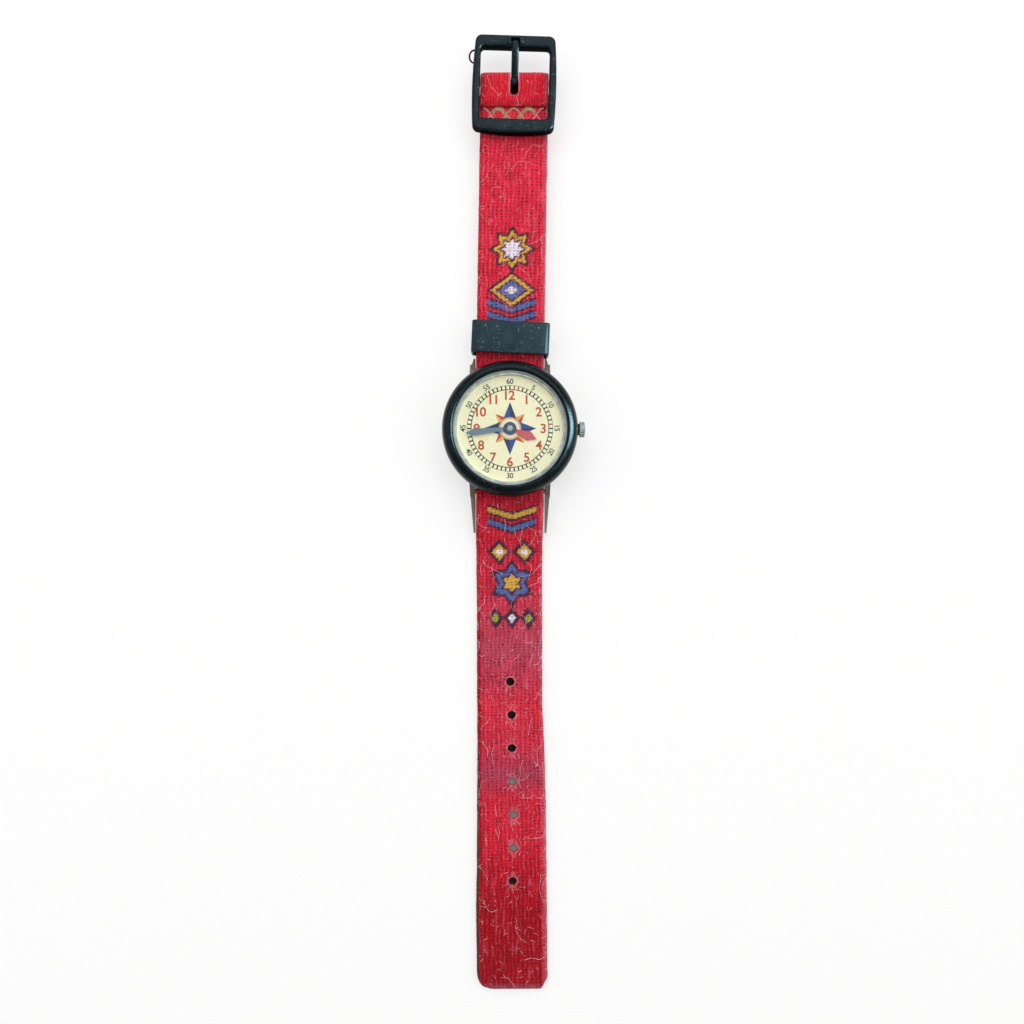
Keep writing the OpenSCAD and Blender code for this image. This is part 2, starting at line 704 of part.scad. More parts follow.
// one zigzag thread across the strap, drawn flat
module zigzag(up) {
  step = (fold_w - stitch_w) / stitch_count;
  top = [for (i = [0:stitch_count]) [-fold_w / 2 + stitch_w / 2 + i * step,
    (i % 2 == 0 ? -up : up) * (stitch_band - stitch_w) / 2]];
  polygon(concat([for (p = top) p + [0, stitch_w / 2]],
    [for (i = [stitch_count:-1:0]) top[i] - [0, stitch_w / 2]]));
}

// two crossing threads in front of the flap, laid on the strap
module fold_stitching() color("#c9a878")
  translate([lean_x(buckle_reach), buckle_reach - stitch_reach, run_z + strap_t]) {
    rise(0, stitch_t) zigzag(1);
    rise(0, stitch_t) zigzag(-1);
  }

// hole side: one stretch between two ends
module lower_profile(index) {
  start = stretch_ends[index - 1] + (index == 1 ? 0 : curl_gap / 2);
  end = stretch_ends[index] - (index == 4 ? 0 : curl_gap / 2);
  if (index == 1) {
    over_bar_profile();
    translate([start, run_z]) square([ramp_start, strap_t]);
    polygon([[start + ramp_start, run_z], [start + ramp_start + ramp_l, 0], [end, 0], [end, strap_t],
      [start + ramp_start + ramp_l, strap_t], [start + ramp_start, run_z + strap_t]]);
  } else {
    translate([start, 0]) square([end - start, strap_t]);
  }
}

// plan of the hole side with its round tip and its holes
module lower_plan() difference() {
  translate([0, tip_reach / 2]) round_rect(strap_w, tip_reach, tip_corner_r);
  for (i = [0:hole_count - 1]) translate([0, first_hole_reach + i * hole_pitch]) circle(d = hole_d);
}

module lower_strap(index) color("#c8202c") mirror([0, 1, 0]) intersection() {
  across(strap_w) lower_profile(index);
  rise(-over, frame_z + over) lower_plan();
}

// keeper and buckle
module keeper() color("#20282e")
  translate([lean_x(keeper_reach), keeper_reach, keeper_h / 2]) rotate(-keeper_turn)
    rotate([90, 0, 0]) linear_extrude(height = keeper_l, center = true) difference() {
      round_rect(keeper_w, keeper_h, keeper_corner_r);
      square([keeper_w - 2 * keeper_wall, keeper_h - 2 * keeper_wall], center = true);
    }

// place a piece on the buckle bar, turned with the buckle
module at_buckle() translate([lean_x(buckle_reach), buckle_reach, 0]) rotate(-buckle_turn) children();

// frame outline with a bowed near edge
module frame_outline() {
  near_edge = frame_nose - frame_l;
  chord = frame_w - 2 * frame_corner_r;
  bow_r = (chord * chord / 4 + frame_bow * frame_bow) / (2 * frame_bow);
  translate([0, frame_nose - frame_l / 2]) round_rect(frame_w, frame_l, frame_corner_r);
  intersection() {
    translate([0, near_edge - frame_bow + bow_r]) circle(bow_r, $fn = 256);
    translate([-chord / 2, near_edge - frame_bow]) square([chord, frame_bow + cross_w / 2]);
  }
}

module buckle_frame() color("#16191c") at_buckle() difference() {
  union() {
    rise(frame_z, frame_z + frame_t) difference() {
      frame_outline();
      translate([0, frame_nose - frame_l / 2])
        round_rect(frame_w - 2 * rail_w, frame_l - 2 * cross_w, window_corner_r);
    }
    for (side = [-1, 1]) translate([side * (frame_w - rail_w) / 2, 0, 0]) across(rail_w) {
      translate([0, buckle_bar_z]) circle(ear_r);
      translate([-ear_r, buckle_bar_z]) square([2 * ear_r, frame_z - buckle_bar_z + fit_gap]);
    }
    for (side = [-1, 1]) translate([side * (notch_w + shoulder_w) / 2, frame_nose - cross_w / 2, 0])
      rise(frame_z, frame_z + frame_t + shoulder_h)
        square([shoulder_w, cross_w - 2 * soft_gap], center = true);
  }
  translate([-notch_w / 2, frame_nose - cross_w - over, frame_z + frame_t - notch_floor])
    cube([notch_w, cross_w + 2 * over, frame_t]);
  translate([0, 0, buckle_bar_z]) rotate([0, 90, 0])
    cylinder(r = buckle_bar_r, h = 2 * frame_w, center = true);
}

module buckle_bar() color("#8c9093") at_buckle() translate([0, 0, buckle_bar_z]) rotate([0, 90, 0])
  cylinder(r = buckle_bar_r, h = frame_w - 2 * soft_gap, center = true);

module tag_loop() color("#0e0e10") at_buckle()
  translate([-(frame_w - rail_w) / 2, loop_reach, frame_z + frame_t / 2]) rotate([loop_tilt, 0, 0])
    rotate_extrude() translate([loop_r, 0]) circle(loop_wire_r, $fn = 16);

module buckle_tongue() color("#14171a") at_buckle() difference() {
  union() {
    rest_z = frame_z + frame_t - notch_floor + fit_gap;
    bend = frame_nose * tongue_rise_share;
    root = tongue_eye_r * tongue_root_share;
    across(tongue_w) translate([0, buckle_bar_z]) circle(tongue_eye_r);
    across(tongue_w) polygon([[0, buckle_bar_z], [0, buckle_bar_z + root],
      [bend - tongue_t / 2, rest_z + tongue_t],
      [frame_nose, rest_z + tongue_t], [frame_nose, rest_z], [bend, rest_z],
      [root, buckle_bar_z]]);
  }
  translate([0, 0, buckle_bar_z]) rotate([0, 90, 0])
    cylinder(r = buckle_bar_r + run_gap, h = 2 * tongue_w, center = true);
}

case_body();
bezel();
crystal();
crystal_gasket();
dial_ring();
dial();
case_back();
case_back_gasket();
lug_bars();
movement_holder();
main_plate();
train_bridge();
circuit_board();
quartz_can();
circuit_chip();
coil();
stator();
battery();
battery_clip();
movement_screws();
centre_wheel();
cannon_pinion();
minute_hand();
hand_cap();
hour_wheel();
hour_hand();
minute_wheel();
third_wheel();
rotor();
pull_piece();
stem();
clutch_wheel();
crown_gasket();
crown();
strap_centre();
upper_strap();
fold_stitching();
keeper();
buckle_frame();
buckle_bar();
tag_loop();
buckle_tongue();
lower_strap(1);  // lower_strap_1
lower_strap(2);  // lower_strap_2
lower_strap(3);  // lower_strap_3
lower_strap(4);  // lower_strap_4
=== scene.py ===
import bisect
import json
import math
import random

import bmesh
import bpy
from mathutils import Matrix, Vector, noise


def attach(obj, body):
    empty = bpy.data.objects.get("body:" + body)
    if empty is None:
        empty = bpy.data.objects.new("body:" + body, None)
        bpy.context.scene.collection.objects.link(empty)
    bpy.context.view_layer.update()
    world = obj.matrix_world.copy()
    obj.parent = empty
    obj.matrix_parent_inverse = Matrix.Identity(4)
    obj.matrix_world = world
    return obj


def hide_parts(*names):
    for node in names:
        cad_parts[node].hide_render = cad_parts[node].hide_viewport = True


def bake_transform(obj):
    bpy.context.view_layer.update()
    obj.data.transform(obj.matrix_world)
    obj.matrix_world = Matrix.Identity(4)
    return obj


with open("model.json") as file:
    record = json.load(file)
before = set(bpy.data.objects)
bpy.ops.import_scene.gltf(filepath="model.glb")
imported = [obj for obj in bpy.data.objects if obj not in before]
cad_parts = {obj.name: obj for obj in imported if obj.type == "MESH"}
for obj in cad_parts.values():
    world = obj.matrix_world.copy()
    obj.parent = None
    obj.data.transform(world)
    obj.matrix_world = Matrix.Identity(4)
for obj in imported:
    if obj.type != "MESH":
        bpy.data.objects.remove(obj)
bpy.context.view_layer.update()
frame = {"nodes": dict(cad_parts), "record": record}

MM = 0.001
UP = Vector((0, 0, 1))
rng = random.Random(7)

# sizes repeated from the part, in mm
STRAP_T, STRAP_W = 1.2, 14.0
LUG_Y, LUG_Z = 12.4, 1.35
LEAN = math.tan(math.radians(0.9))
BUCKLE_Y, BUCKLE_Z = 71.6, 1.95
BUCKLE_X = (BUCKLE_Y - LUG_Y) * LEAN
BUCKLE_TURN = math.radians(-1.8)
KEEPER_Y, KEEPER_Z, KEEPER_TURN = 18.65, 2.65, math.radians(-2.6)
TIP = 115.2
FIRST_HOLE, HOLE_PITCH = 51.8, 6.87
HOLES = [FIRST_HOLE + HOLE_PITCH * i for i in range(7)]
DIAL_TOP = 6.9

# the holes as the photo shows them: each one's place across the strap, and their radius
HOLE_X = [0.0, 0.2, 0.2, 0.3, 0.45, 0.38, 0.14]
HOLE_R = 0.9
HOLE_PLACES = list(zip(HOLE_X, HOLES))


def clamp(t):
    return min(1.0, max(0.0, t))


def lerp(a, b, t):
    return tuple(x + (y - x) * t for x, y in zip(a, b))


def look_up(table, s):
    """Values at s from rows of s and values, held at both ends."""
    i = max(1, min(len(table) - 1, bisect.bisect_right([row[0] for row in table], s)))
    a, b = table[i - 1], table[i]
    return lerp(a[1:], b[1:], clamp((s - a[0]) / (b[0] - a[0])))


def lin(r, g, b):
    """sRGB bytes to linear."""
    return tuple(c / 255 / 12.92 if c <= 10 else ((c / 255 + 0.055) / 1.055) ** 2.4 for c in (r, g, b))


def blend_colour(a, b, t):
    return lerp(a, b, clamp(t))


def wob(x, y, seed):
    """Smooth noise from about -1 to 1."""
    return noise.noise(Vector((x, y, seed)))


class Shade:
    """A principled material with a few short ways to add nodes."""

    def __init__(self, name, colour, rough, **sockets):
        self.mat = bpy.data.materials.new(name)
        self.mat.use_nodes = True
        self.nodes, self.links = self.mat.node_tree.nodes, self.mat.node_tree.links
        self.bsdf = next(n for n in self.nodes if n.type == "BSDF_PRINCIPLED")
        self.set({"Base Color": (*colour, 1.0), "Roughness": rough})
        self.set({k.replace("_", " "): v for k, v in sockets.items()})

    def set(self, sockets):
        self.put(self.bsdf, sockets)

    def put(self, node, sockets):
        """Links a socket, or writes a plain value."""
        for key, value in sockets.items():
            if isinstance(value, bpy.types.NodeSocket):
                self.links.new(value, node.inputs[key])
            else:
                node.inputs[key].default_value = value

    def add(self, kind, sockets=None, **props):
        node = self.nodes.new(kind)
        for key, value in props.items():
            setattr(node, key, value)
        self.put(node, sockets or {})
        return node

    def coords(self, stretch=(1, 1, 1), turn=0.0):
        """Object coordinates in mm."""
        tex = self.add("ShaderNodeTexCoord")
        scale = tuple(s / MM for s in stretch)
        place = {"Vector": tex.outputs["Object"], "Scale": scale, "Rotation": (0.0, 0.0, turn)}
        return self.add("ShaderNodeMapping", place).outputs[0]

    def math(self, op, a, b=0.0):
        return self.add("ShaderNodeMath", {0: a, 1: b}, operation=op).outputs[0]

    def mul(self, a, b):
        return self.math("MULTIPLY", a, b)

    def vector(self, op, a, b):
        return self.add("ShaderNodeVectorMath", {0: a, 1: b}, operation=op).outputs[0]

    def axes(self, vector):
        return self.add("ShaderNodeSeparateXYZ", {0: vector}).outputs

    def cloth(self):
        """The mesh's own colour, and its flat map in mm."""
        colour = self.add("ShaderNodeAttribute", attribute_name="cloth").outputs["Color"]
        return colour, self.add("ShaderNodeUVMap", uv_map="flat").outputs[0]

    def noise(self, vector, scale, detail=2.0, rough=0.5):
        sockets = {"Vector": vector, "Scale": scale, "Detail": detail, "Roughness": rough}
        return self.add("ShaderNodeTexNoise", sockets).outputs[0]

    def dots(self, vector, scale):
        return self.add("ShaderNodeTexVoronoi", {"Vector": vector, "Scale": scale}).outputs["Distance"]

    def ramp(self, value, low, high, a=0.0, b=1.0):
        """Maps low to high onto a to b, held at both ends."""
        sockets = {"Value": value, "From Min": low, "From Max": high, "To Min": a, "To Max": b}
        return self.add("ShaderNodeMapRange", sockets).outputs[0]

    def mix(self, factor, a, b, blend="MIX"):
        first, second = ((*c, 1.0) if isinstance(c, tuple) else c for c in (a, b))
        sockets = {0: factor, 6: first, 7: second}
        return self.add("ShaderNodeMix", sockets, data_type="RGBA", blend_type=blend).outputs[2]

    def bump(self, height, strength, distance):
        """Surface relief of a depth in mm."""
        sockets = {"Height": height, "Strength": strength, "Distance": distance * MM}
        self.set({"Normal": self.add("ShaderNodeBump", sockets).outputs[0]})


COOL_GLOSS = (0.62, 0.92, 1.0, 1.0)
SCRATCHED, DUSTY = lin(120, 132, 138), lin(205, 210, 210)


def scuffed_plastic(name, colour, light, rough, wear, gloss=0.17):
    """Moulded plastic with smudges, fine scratches and pale specks."""
    s = Shade(name, colour, rough[0], Specular_IOR_Level=gloss, Specular_Tint=COOL_GLOSS)
    p = s.coords()
    smudge = s.noise(p, 0.4, 3.0)
    scratch = s.ramp(s.noise(s.coords((0.35, 3.2, 0.6), 0.5), 1.6, 5.0, 0.6), 0.62, 0.68)
    cross = s.ramp(s.noise(s.coords((2.6, 0.3, 0.6), 0.35), 1.5, 5.0, 0.6), 0.64, 0.69)
    marks = s.math("MAXIMUM", scratch, cross)
    patches = s.ramp(s.noise(p, 0.7, 1.0), 0.52, 0.58)
    dust = s.mul(s.ramp(s.dots(p, 0.9), 0.09, 0.05), patches)
    base = s.mix(s.ramp(smudge, 0.3, 0.7, 0.0, 0.5), colour, light)
    base = s.mix(s.mul(marks, wear), base, SCRATCHED)
    base = s.mix(s.mul(dust, wear * 1.6), base, DUSTY)
    s.set({"Base Color": base, "Roughness": s.ramp(smudge, 0.3, 0.7, rough[0], rough[1])})
    grain = s.math("ADD", s.noise(p, 6.0, 3.0), s.mul(marks, -0.6))
    s.bump(grain, 0.12, 0.03)
    return s.mat


def metal(name, colour, rough, stretch=(1, 1, 1), bare=1.0):
    """Worn metal with fine drawn lines."""
    s = Shade(name, colour, rough, Metallic=bare)
    lines = s.noise(s.coords(stretch), 5.0, 4.0, 0.6)
    stain = s.noise(s.coords(), 0.8, 2.0)
    dark = tuple(c * 0.62 for c in colour)
    s.set({"Base Color": s.mix(s.ramp(stain, 0.35, 0.7), colour, dark),
           "Roughness": s.ramp(lines, 0.3, 0.7, rough * 0.8, rough * 1.4)})
    s.bump(lines, 0.15, 0.02)
    return s.mat


def plain_matt(name, colour, rough, depth=0.25):
    """Matt card, resin, rubber or paint with slight mottling."""
    s = Shade(name, colour, rough, Specular_IOR_Level=0.2)
    p = s.coords()
    cloud = s.noise(p, 0.9, 3.0)
    dark = tuple(c * 0.5 for c in colour)
    s.set({"Base Color": s.mix(s.ramp(cloud, 0.3, 0.75, 0.0, depth), colour, dark),
           "Roughness": s.ramp(cloud, 0.3, 0.7, rough * 0.85, min(1.0, rough * 1.15))})
    s.bump(s.noise(p, 7.0, 2.0), 0.1, 0.03)
    return s.mat


def dial_card():
    """Cream printed card, a little foxed in patches."""
    cream, yellowed, spotted = lin(248, 243, 198), lin(240, 222, 150), lin(206, 190, 132)
    s = Shade("dial_cream", cream, 0.5)
    p = s.coords()
    fox = s.ramp(s.noise(p, 0.32, 4.0, 0.6), 0.54, 0.74, 0.0, 0.8)
    fine = s.ramp(s.noise(p, 2.4, 3.0), 0.62, 0.75, 0.0, 0.45)
    base = s.mix(fox, cream, yellowed)
    base = s.mix(fine, base, spotted)
    s.set({"Base Color": base, "Roughness": s.ramp(s.noise(p, 1.5), 0.3, 0.7, 0.42, 0.6)})
    s.bump(s.noise(p, 9.0, 2.0), 0.08, 0.02)
    return s.mat


def clear_glass():
    """Flat glass, thin enough to be shown by its surface alone."""
    s = Shade("clear_glass", lin(110, 118, 120), 0.04, Alpha=0.05, IOR=1.5)
    scratch = s.ramp(s.noise(s.coords((0.4, 2.6, 1.0), 0.9), 1.2, 5.0, 0.6), 0.66, 0.7)
    s.set({"Roughness": s.ramp(scratch, 0.0, 1.0, 0.03, 0.3)})
    return s.mat


# spacing of the knit in mm: columns, rows, and the ribs on its back
WALE, COURSE, RIB = 0.86, 0.64, 0.55
PALE_THREAD, WORN_THREAD, GRIME = lin(226, 122, 138), lin(222, 118, 134), lin(98, 30, 44)


def weave():
    """Knitted red textile: colour comes from the mesh, stitches from the flat map in mm."""
    s = Shade("textile_red", lin(200, 40, 58), 0.82, Specular_IOR_Level=0.04, Sheen_Weight=0.06)
    s.set({"Sheen Tint": (*lin(255, 150, 160), 1.0)})
    colour, flat = s.cloth()
    stray = s.add("ShaderNodeTexNoise", {"Vector": flat, "Scale": 0.3, "Detail": 3.0})
    bent = s.vector("SUBTRACT", stray.outputs["Color"], (0.5, 0.5, 0.5))
    bent = s.add("ShaderNodeVectorMath", {0: bent, "Scale": 1.3}, operation="SCALE").outputs[0]
    bent = s.vector("ADD", flat, bent)
    axes = s.axes(bent)
    wale = s.math("COSINE", s.mul(axes[0], 2 * math.pi / WALE))
    course = s.mul(axes[1], 2 * math.pi / COURSE)
    row = s.math("COSINE", s.math("ADD", course, s.mul(wale, 0.8)))
    even = s.ramp(s.noise(flat, 0.6, 3.0), 0.35, 0.65, 0.15, 1.0)
    pit = s.mul(s.ramp(wale, 0.5, -0.7), s.ramp(row, -0.3, 0.8))
    pit = s.mul(pit, even)
    # the fold shows the back of the cloth, with long ribs and no rows
    fold = s.ramp(s.axes(flat)[1], 70.5, 72.0)
    rib = s.math("COSINE", s.mul(axes[0], 2 * math.pi / RIB))
    rib = s.mul(s.ramp(rib, 0.2, -0.9), 0.45)
    pit = s.mul(pit, s.math("SUBTRACT", 1.0, fold))
    pit = s.math("ADD", pit, s.mul(rib, fold))
    fuzz = s.noise(flat, 6.0, 4.0, 0.65)
    # painted shade: the colour is darkened in the knit's pits and between the fold's ribs, besides their
    # bump
    tone = s.math("ADD", s.ramp(pit, 0.0, 1.0, 1.13, 0.24), s.ramp(fuzz, 0.3, 0.7, -0.3, 0.3))
    shade = s.add("ShaderNodeCombineColor", {0: tone, 1: tone, 2: tone}).outputs[0]
    base = s.mix(1.0, colour, shade, "MULTIPLY")
    # pale worn threads along the ribs, which spare the dark print
    dyed = s.ramp(s.add("ShaderNodeSeparateColor", {0: colour}).outputs[0], 0.02, 0.6)
    drawn = s.vector("MULTIPLY", bent, (1.7, 0.8, 1.0))
    broken = s.mul(s.ramp(s.noise(drawn, 1.0, 4.0, 0.7), 0.47, 0.68, 0.0, 0.62), dyed)
    base = s.mix(s.mul(s.ramp(wale, 0.4, 1.0), broken), base, PALE_THREAD)
    grime = s.ramp(s.noise(flat, 0.55, 5.0, 0.65), 0.52, 0.74, 0.0, 0.45)
    base = s.mix(grime, base, GRIME)
    worn = s.mul(s.ramp(s.noise(flat, 2.6, 5.0, 0.7), 0.56, 0.72, 0.0, 0.6), dyed)
    base = s.mix(worn, base, WORN_THREAD)
    s.set({"Base Color": base})
    s.bump(s.math("SUBTRACT", s.mul(fuzz, 0.5), pit), 0.6, 0.2)
    return s.mat


def felt():
    """Painted shade for a through-hole: a dark grainy disc low in the hole, in the tone seen through it."""
    s = Shade("hole_painted_shade", lin(40, 30, 20), 0.95, Specular_IOR_Level=0.1)
    colour, flat = s.cloth()
    grain = s.noise(flat, 5.0, 3.0)
    s.set({"Base Color": s.mix(s.ramp(grain, 0.35, 0.7, 0.0, 0.5), colour, lin(20, 14, 10))})
    s.bump(grain, 0.4, 0.1)
    return s.mat


def hand_paint(name, colour):
    """Painted hand with a navy hub."""
    hub_r, navy = 1.3, lin(44, 52, 84)
    s = Shade(name, colour, 0.4)
    p = s.coords()
    axes = s.axes(p)
    reach = s.add("ShaderNodeCombineXYZ", {0: axes[0], 1: axes[1]}).outputs[0]
    reach = s.add("ShaderNodeVectorMath", {0: reach}, operation="LENGTH").outputs["Value"]
    cloud = s.noise(p, 1.1, 3.0)
    dark = tuple(c * 0.45 for c in colour)
    base = s.mix(s.ramp(cloud, 0.35, 0.7, 0.0, 0.45), colour, dark)
    base = s.mix(s.ramp(reach, 1.45, hub_r), base, navy)
    s.set({"Base Color": base, "Roughness": s.ramp(cloud, 0.3, 0.7, 0.3, 0.5)})
    s.bump(s.noise(p, 7.0), 0.1, 0.02)
    return s.mat


def fibre(name, colour, dark):
    """Thread or lint in two tones."""
    s = Shade(name, colour, 0.8, Sheen_Weight=0.3)
    tint = s.noise(s.coords(), 1.4, 2.0)
    s.set({"Base Color": s.mix(s.ramp(tint, 0.35, 0.65), colour, dark)})
    s.bump(s.noise(s.coords((6, 6, 6)), 4.0, 2.0), 0.2, 0.02)
    return s.mat


MATS = {
    "case_plastic": scuffed_plastic("case_plastic", lin(112, 97, 84), lin(128, 112, 98), (0.42, 0.58), 0.18),
    "bezel_black": scuffed_plastic("bezel_black", lin(3, 6, 9), lin(7, 12, 17), (0.2, 0.3), 0.2),
    "clear_glass": clear_glass(),
    "black_rubber": plain_matt("black_rubber", lin(8, 9, 10), 0.7),
    "ring_metal": metal("ring_metal", lin(200, 203, 196), 0.3, (1, 1, 1), 0.35),
    "dial_cream": dial_card(),
    "steel": metal("steel", lin(168, 172, 170), 0.28, (1, 6, 1)),
    "brass": metal("brass", lin(202, 172, 98), 0.3),
    "holder_plastic": plain_matt("holder_plastic", lin(214, 214, 204), 0.5),
    "board_green": plain_matt("board_green", lin(40, 105, 70), 0.45),
    "chip_black": plain_matt("chip_black", lin(22, 22, 24), 0.6),
    "coil_copper": metal("coil_copper", lin(186, 104, 56), 0.35, (12, 1, 1)),
    "hand_blue": hand_paint("hand_blue", lin(104, 126, 140)),
    "hand_red": hand_paint("hand_red", lin(206, 62, 74)),
    "textile_red": weave(),
    "thread_tan": fibre("thread_tan", lin(206, 182, 132), lin(176, 146, 98)),
    "buckle_black": scuffed_plastic("buckle_black", lin(6, 12, 18), lin(14, 24, 31), (0.28, 0.4), 0.3),
}
LINT = fibre("lint", lin(240, 196, 202), lin(226, 146, 158))
HOLE_SHADE = felt()
KEEPER_PLASTIC = scuffed_plastic("keeper_black", lin(24, 36, 45), lin(32, 45, 54), (0.34, 0.46), 0.7)
# painted shade: a near-black, nearly unreflecting plastic for the buckle frame's upright walls
BUCKLE_WALL_SHADE = scuffed_plastic("buckle_wall_shade", lin(3, 5, 7), lin(6, 9, 12), (0.5, 0.6), 0.1, 0.02)
CROWN_METAL = metal("crown_metal", lin(132, 139, 135), 0.36, (1, 8, 8), 0.8)
GASKET_NYLON = plain_matt("gasket_nylon", lin(158, 166, 164), 0.4)
INK = {name: plain_matt("ink_" + name, lin(*colour), 0.55, 0.2) for name, colour in {
    "red": (200, 68, 8), "black": (26, 24, 24), "slate": (46, 62, 72), "blue": (28, 68, 150),
    "navy": (28, 36, 92), "gold": (242, 186, 62), "rose": (206, 62, 78), "white": (248, 244, 226)}.items()}
OWN_LOOK = {"crown": CROWN_METAL, "crystal_gasket": GASKET_NYLON}

for row in frame["record"]["subparts"]:
    for slot in frame["nodes"][row["node"]].material_slots:
        slot.material = OWN_LOOK.get(row["node"], MATS[row["material_slot"]])


def put(name, data):
    """A new object in the scene."""
    obj = bpy.data.objects.new(name, data)
    bpy.context.scene.collection.objects.link(obj)
    return obj


def make(name, verts, faces, materials, indices=None, smooth=50):
    """A mesh object from points in mm."""
    mesh = bpy.data.meshes.new(name)
    mesh.from_pydata([Vector(v) * MM for v in verts], [], faces)
    for material in materials:
        mesh.materials.append(material)
    if indices:
        mesh.polygons.foreach_set("material_index", indices)
    if smooth:
        mesh.polygons.foreach_set("use_smooth", [True] * len(faces))
        mesh.update()
        mesh.set_sharp_from_angle(angle=math.radians(smooth))
    return put(name, mesh)


SKEW = Vector((0.3, 0.2, 1))  # along no thread


def belongs(obj, body, slot, *nodes):
    """The body that carries a piece, its material slot, which is not used, and the nodes it stands for."""
    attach(obj, body)
    if nodes:
        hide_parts(*nodes)


def around(count):
    return [2 * math.pi * k / count for k in range(count)]


def sleeve(count, sides, closed=False):
    """Faces between rings of points that follow each other."""
    faces = []
    for i in range(count if closed else count - 1):
        a, b = i * sides, (i + 1) % count * sides
        for k in range(sides):
            n = (k + 1) % sides
            faces.append((a + k, a + n, b + n, b + k))
    return faces


def tube(points, radius, sides, taper=0.5):
    """Points and faces of a thin thread along a list of points."""
    verts = []
    for i, p in enumerate(points):
        ahead = points[min(i + 1, len(points) - 1)] - points[max(i - 1, 0)]
        side = ahead.cross(SKEW).normalized()
        over = side.cross(ahead).normalized()
        ends = taper if i in (0, len(points) - 1) else 1.0
        for a in around(sides):
            verts.append(p + (side * math.cos(a) + over * math.sin(a)) * radius * ends)
    faces = sleeve(len(points), sides)
    faces.append(tuple(reversed(range(sides))))
    faces.append(tuple(range(len(verts) - sides, len(verts))))
    return verts, faces


# strap: s is the flat position along the cloth, side is 1 at the buckle and -1 at the holes

STEP, MIN_STEP = 0.3, 0.08
LOW_Z, HIGH_Z = STRAP_T / 2, 2.6  # middle of the cloth on the floor and over a lug bar
START = -1.14  # s under the middle of the case
BAR_NEAR, BAR_FAR = 71.9, 76.05  # s where the cloth reaches and leaves the buckle's bar
FLAP_BEND, FLAP_END = 80.27, 81.69
SLOT_START, SLOT_END, SLOT_HALF, SLOT_ROUND = 72.4, 78.75, 0.78, 1.05
TAIL_FROM, TAIL_LEAN = 45, 0.009


class Route:
    """A strap's centre line in distance from the case axis and height."""

    def __init__(self, parts, side):
        self.side, self.rows = side, []
        self.holes = HOLE_PLACES if side < 0 else []
        for shape, s0, s1 in parts:
            count = max(2, math.ceil(abs(s1 - s0) / STEP))
            for i in range(count + 1):
                t = i / count
                self.rows.append((s0 + (s1 - s0) * t, *shape(t)))
        self.keys = [row[0] for row in self.rows]

    def between(self, low, high):
        """Rows from low to high, none too close to the next."""
        kept = [self.at(low)]
        for row in self.rows:
            if low < row[0] < high and row[0] - kept[-1][0] > MIN_STEP:
                kept.append(row)
        if high - kept[-1][0] < MIN_STEP:
            kept.pop()
        return kept + [self.at(high)]

    def at(self, s):
        i = min(max(bisect.bisect_right(self.keys, s), 1), len(self.keys) - 1)
        a, b = self.rows[i - 1], self.rows[i]
        t = 0.0 if b[0] == a[0] else clamp((s - a[0]) / (b[0] - a[0]))
        return (s,) + lerp(a[1:], b[1:], t)

    def middle(self, s, reach):
        """How far the strap's middle stands to the side."""
        if self.side < 0:
            return TAIL_LEAN * max(0.0, s - TAIL_FROM)
        if s < BAR_NEAR:
            return (min(max(reach, LUG_Y), BUCKLE_Y) - LUG_Y) * LEAN
        return BUCKLE_X - (reach - BUCKLE_Y) * math.tan(BUCKLE_TURN)

    def point(self, row, x, h):
        """World point at x across the strap and h off its middle."""
        s, reach, z, along, up = row
        long = math.hypot(along, up)
        y = self.side * (reach - h * up / long)
        return Vector((self.middle(s, reach) + x, y, z + h * along / long))


def line(r0, z0, r1, z1):
    return lambda t: (r0 + (r1 - r0) * t, z0 + (z1 - z0) * t, r1 - r0, z1 - z0)


def arc(r, z, radius, a0, a1):
    sign = 1 if a1 > a0 else -1

    def shape(t):
        a = math.radians(a0 + (a1 - a0) * t)
        return (r + radius * math.cos(a), z + radius * math.sin(a),
                -sign * math.sin(a), sign * math.cos(a))
    return shape


# each part of a route: its shape, and s at both ends
UNDER = [(line(0, LOW_Z, 10.4, LOW_Z), START, 9.26), (arc(10.4, LUG_Z, 0.75, -90, 0), 9.26, 10.44),
         (arc(LUG_Y, LUG_Z, 1.25, 180, 90), 10.44, LUG_Y)]
upper = Route(UNDER + [
    (line(LUG_Y, HIGH_Z, 64.6, HIGH_Z), LUG_Y, 64.6), (line(64.6, HIGH_Z, 66.2, 2.4), 64.6, 66.2),
    (line(66.2, 2.4, 70.6, 0.82), 66.2, 70.8), (line(70.6, 0.82, BUCKLE_Y, 0.63), 70.8, BAR_NEAR),
    (arc(BUCKLE_Y, BUCKLE_Z, 1.32, -90, 90), BAR_NEAR, BAR_FAR),
    (line(BUCKLE_Y, 3.27, 67.4, 3.72), BAR_FAR, FLAP_BEND),
    (line(67.4, 3.72, 66.0, 3.5), FLAP_BEND, FLAP_END)], 1)
lower = Route(UNDER + [
    (line(LUG_Y, HIGH_Z, 15.0, HIGH_Z), LUG_Y, 15.0), (line(15.0, HIGH_Z, 16.6, 2.38), 15.0, 16.6),
    (line(16.6, 2.38, 24.2, 0.76), 16.6, 24.2), (line(24.2, 0.76, 26.0, LOW_Z), 24.2, 26.0),
    (line(26.0, LOW_Z, TIP, LOW_Z), 26.0, TIP)], -1)

# width: the edges' inset, the fold between the buckle's rails, and the wider stretch before it
EDGE_INSET = 0.06
FOLD_START, FOLD_HALF = 70.3, 6.92
WIDE_START, WIDE_EASE, WIDE_LEFT, WIDE_RIGHT = 61, 2, 0.3, 0.1
# the tip's rounded left corner and its cut right one: length, and share taken off
ROUND_CORNER, CUT_CORNER = (3.4, 0.66), (2.2, 0.55)
# how far the hole side's left and right edges stand out: drawn in by the holes, spread at the tip
SPREAD = [(14, 0.0, 0.0), (22, 0.05, -0.2), (30, 0.0, -0.32), (40, -0.14, -0.26), (56, -0.06, -0.38),
          (66, 0.0, 0.0), (77, 0.18, 0.16), (90, 0.34, 0.2), (98, 0.56, 0.2), (TIP, 0.5, 0.2)]


